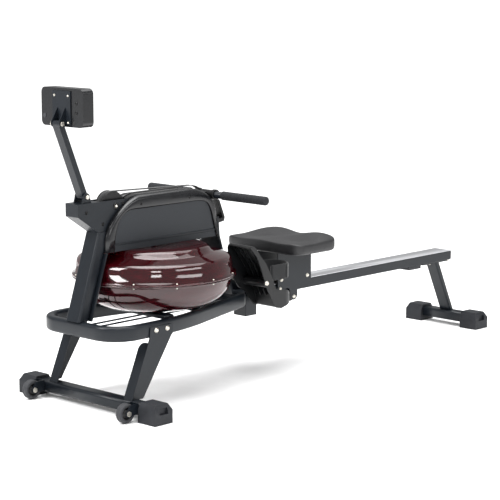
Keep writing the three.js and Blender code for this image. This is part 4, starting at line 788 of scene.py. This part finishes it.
for side, sign in (("left", 1), ("right", -1)):
    body = "pedal_" + side
    show(body, nylon, 2.0, 3)
    low, high = (1000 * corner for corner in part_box(body))
    near, far = sorted((abs(low.y), abs(high.y)))
    middle = sign * (near + far) / 2
    for k in range(1, 5):
        y = sign * (near + (far - near) * k / 5)
        outer = [along_tread(0.14 + 0.8 * i / 12, -5.5) for i in range(13)]
        depth = 26 - 3 * k
        inner = [along_tread(0.14 + 0.8 * i / 12, 8 * (i / 12) ** 2 - depth) for i in range(13)]
        rib = swept(outer + inner[::-1], y - 1.1, y + 1.1)
        piece(f"tread_rib_{side}_{k}", rib, nylon, body, smooth=False)
    for k in range(9):
        ridge = ((0, -0.4), (0.014, 1.6), (0.028, 1.6), (0.042, -0.4))
        base = [along_tread(0.2 + 0.075 * k + d, h) for d, h in ridge]
        half = (far - near) / 2 - 12
        name = f"tread_ridge_{side}_{k}"
        piece(name, swept(base, middle - half, middle + half), tyre_rubber, body, smooth=False)
    for label, y, facing in (("outer", sign * far, 1), ("inner", sign * near, -1)):
        spot = (axle_mid.x / 1000, y / 1000, axle_mid.z / 1000)
        way = "+Y" if sign * facing > 0 else "-Y"
        screw(f"axle_bolt_{label}_{side}", spot, way, 6.0, 4.6, zinc_plate, body)

    strap_low, strap_high = (1000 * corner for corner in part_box("foot_strap_" + side))
    half = (strap_high.y - strap_low.y) / 2 - 1.6
    mid_z, rear = (strap_low.z + strap_high.z) / 2, strap_high.x - 1.6
    route = [(strap_low.x + 18 + 12 * i, middle - sign * half, mid_z) for i in range(5)]
    route += [(rear - 44 * (1 - math.sin(t)), middle - sign * half * math.cos(t), mid_z)
              for t in (math.pi * i / 24 for i in range(25))]
    route += [(strap_low.x + 66 - 12 * i, middle + sign * half, mid_z) for i in range(5)]
    band = piece(f"foot_webbing_{side}", ribbon(route, 2.4, 50.0, (0, 0, 1)), webbing, body)
    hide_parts("foot_strap_" + side)
    outside = [
        (rear + 2.0 - 44 * (1 - math.sin(t)), middle - sign * (half + 2.2) * math.cos(t), mid_z)
        for t in (math.pi * i / 24 for i in range(9, 24))
    ]
    piece(f"strap_overlap_{side}", ribbon(outside, 1.8, 46.0, (0, 0, 1)), webbing, body)
    patch = [(x + 1.3, y + sign * 0.8, z) for x, y, z in outside[4:9]]
    piece(f"strap_patch_{side}", ribbon(patch, 0.9, 42.0, (0, 0, 1)), hook_patch, body)

# ---- seat ---------------------------------------------------------------------------------------
# A moulded polyurethane saddle on an ABS pan is screwed to a folded steel carriage, which rolls on
# two nylon rollers over the rail and is held down by a third under it.
#
# Self-skinned polyurethane: charcoal, with a soft gloss over a fine pebbled skin.
saddle_skin, tree, shader, place = new_finish("skinned_polyurethane", IOR=1.5, Specular_IOR_Level=0.45)
pebble = add(tree, "ShaderNodeTexVoronoi", {"Vector": place, "Scale": 1000 / 2.2}).outputs["Distance"]
shading = add(tree, "ShaderNodeTexNoise", {"Vector": place, "Scale": 1000 / 50, "Detail": 3.0}).outputs["Fac"]
colour, rough, normal = (shader.inputs[k] for k in ("Base Color", "Roughness", "Normal"))
mixed = {0: shading, 6: linear("#141416"), 7: linear("#1e1e20")}
add(tree, "ShaderNodeMix", mixed, {2: colour}, data_type="RGBA")
add(tree, "ShaderNodeMapRange", {"Value": shading, "To Min": 0.42, "To Max": 0.54}, {"Result": rough})
add(tree, "ShaderNodeBump", {"Height": pebble, "Distance": 0.00012, "Strength": 0.4}, {"Normal": normal})

show("seat_carriage", powder_coat, 1.0, 2)
for name in ("top_roller_front", "top_roller_rear", "low_roller"):
    show(name, nylon, 0.8, 2)
for side, sign, facing in (("left", 1, "+Y"), ("right", -1, "-Y")):
    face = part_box("seat_carriage")[1].y
    for label in ("top_roller_front", "top_roller_rear", "low_roller"):
        low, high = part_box(label)
        spot = ((low.x + high.x) / 2, sign * face, (low.z + high.z) / 2)
        screw(f"{label}_bolt_{side}", spot, facing, 5.4, 4.4, zinc_plate, "seat")
    screw(f"carriage_bolt_{side}", (-0.040, sign * face, 0.265), facing, 4.4, 3.4, zinc_plate, "seat")

seat_low, seat_high = (1000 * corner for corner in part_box("seat"))
seat_front, seat_rear, seat_side = seat_low.x + 1, seat_high.x - 1, seat_high.y - 1
seat_base = seat_low.z + 2


def hump(value, middle, spread_mm):
    """A smooth bump of height one."""
    return math.exp(-(((value - middle) / spread_mm) ** 2))


def saddle_plan(turn):
    """The saddle's outline seen from above: a rounded oblong, pinched a little at the rear middle."""
    c, s = math.cos(turn), math.sin(turn)
    reach = (abs(c) ** 8 + abs(s) ** 8) ** (-1 / 8)
    x = (seat_front + seat_rear) / 2 + (seat_rear - seat_front) / 2 * reach * c
    y = seat_side * reach * s
    return x - (8 * hump(y, 0, 40) if c > 0 else 0), y


def saddle_top(x, y):
    """The height of the sitting surface: two cupped halves, raised behind and dipped for the thighs."""
    share = (x - seat_front) / (seat_rear - seat_front)
    across = abs(y) / seat_side
    rise = seat_high.z - seat_base - 22
    behind = math.sin(min(1, max(0, (share - 0.34) / 0.46)) * math.pi / 2) ** 2
    behind *= 1 - 0.32 * max(0, (share - 0.84) / 0.16) ** 2
    lobes = hump(across, 0.55, 0.36)
    bowl = 7 * hump(share, 0.4, 0.2) * hump(across, 0.5, 0.3)
    thigh = 4 * max(0, 1 - share / 0.3) * hump(across, 0.55, 0.3)
    edge = 7 * max(0, (across - 0.78) / 0.22) ** 2
    return seat_base + rise + 13 * behind * lobes - bowl - thigh - edge


steps = 96
outline = [saddle_plan(math.tau * i / steps) for i in range(steps)]
centre = ((seat_front + seat_rear) / 2 + 6, 0)


def shrunk(share):
    """The saddle's outline drawn in towards its middle."""
    return [(centre[0] + (x - centre[0]) * share, centre[1] + (y - centre[1]) * share) for x, y in outline]


rings = [[(x, y, seat_base + 2) for x, y in shrunk(0.9)], [(x, y, seat_base) for x, y in shrunk(0.945)]]
rings += [[(x, y, seat_base + 5) for x, y in shrunk(0.985)]]
for lift in (0.3, 0.62):
    rings.append([(x, y, seat_base + (saddle_top(x, y) - seat_base - 8) * lift + 4) for x, y in shrunk(1.0)])
for share, drop in ((0.998, 5.5), (0.99, 2.2), (0.975, 0.6), (0.93, 0.0)):
    rings.append([(x, y, saddle_top(x, y) - drop) for x, y in shrunk(share)])
for k in range(1, 15):
    rings.append([(x, y, saddle_top(x, y)) for x, y in shrunk(0.93 * (1 - k / 15))])
saddle = piece("saddle", lofted(rings), saddle_skin, "seat")
soft = saddle.modifiers.new("soft", "SUBSURF")
soft.levels = soft.render_levels = 1
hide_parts("seat")
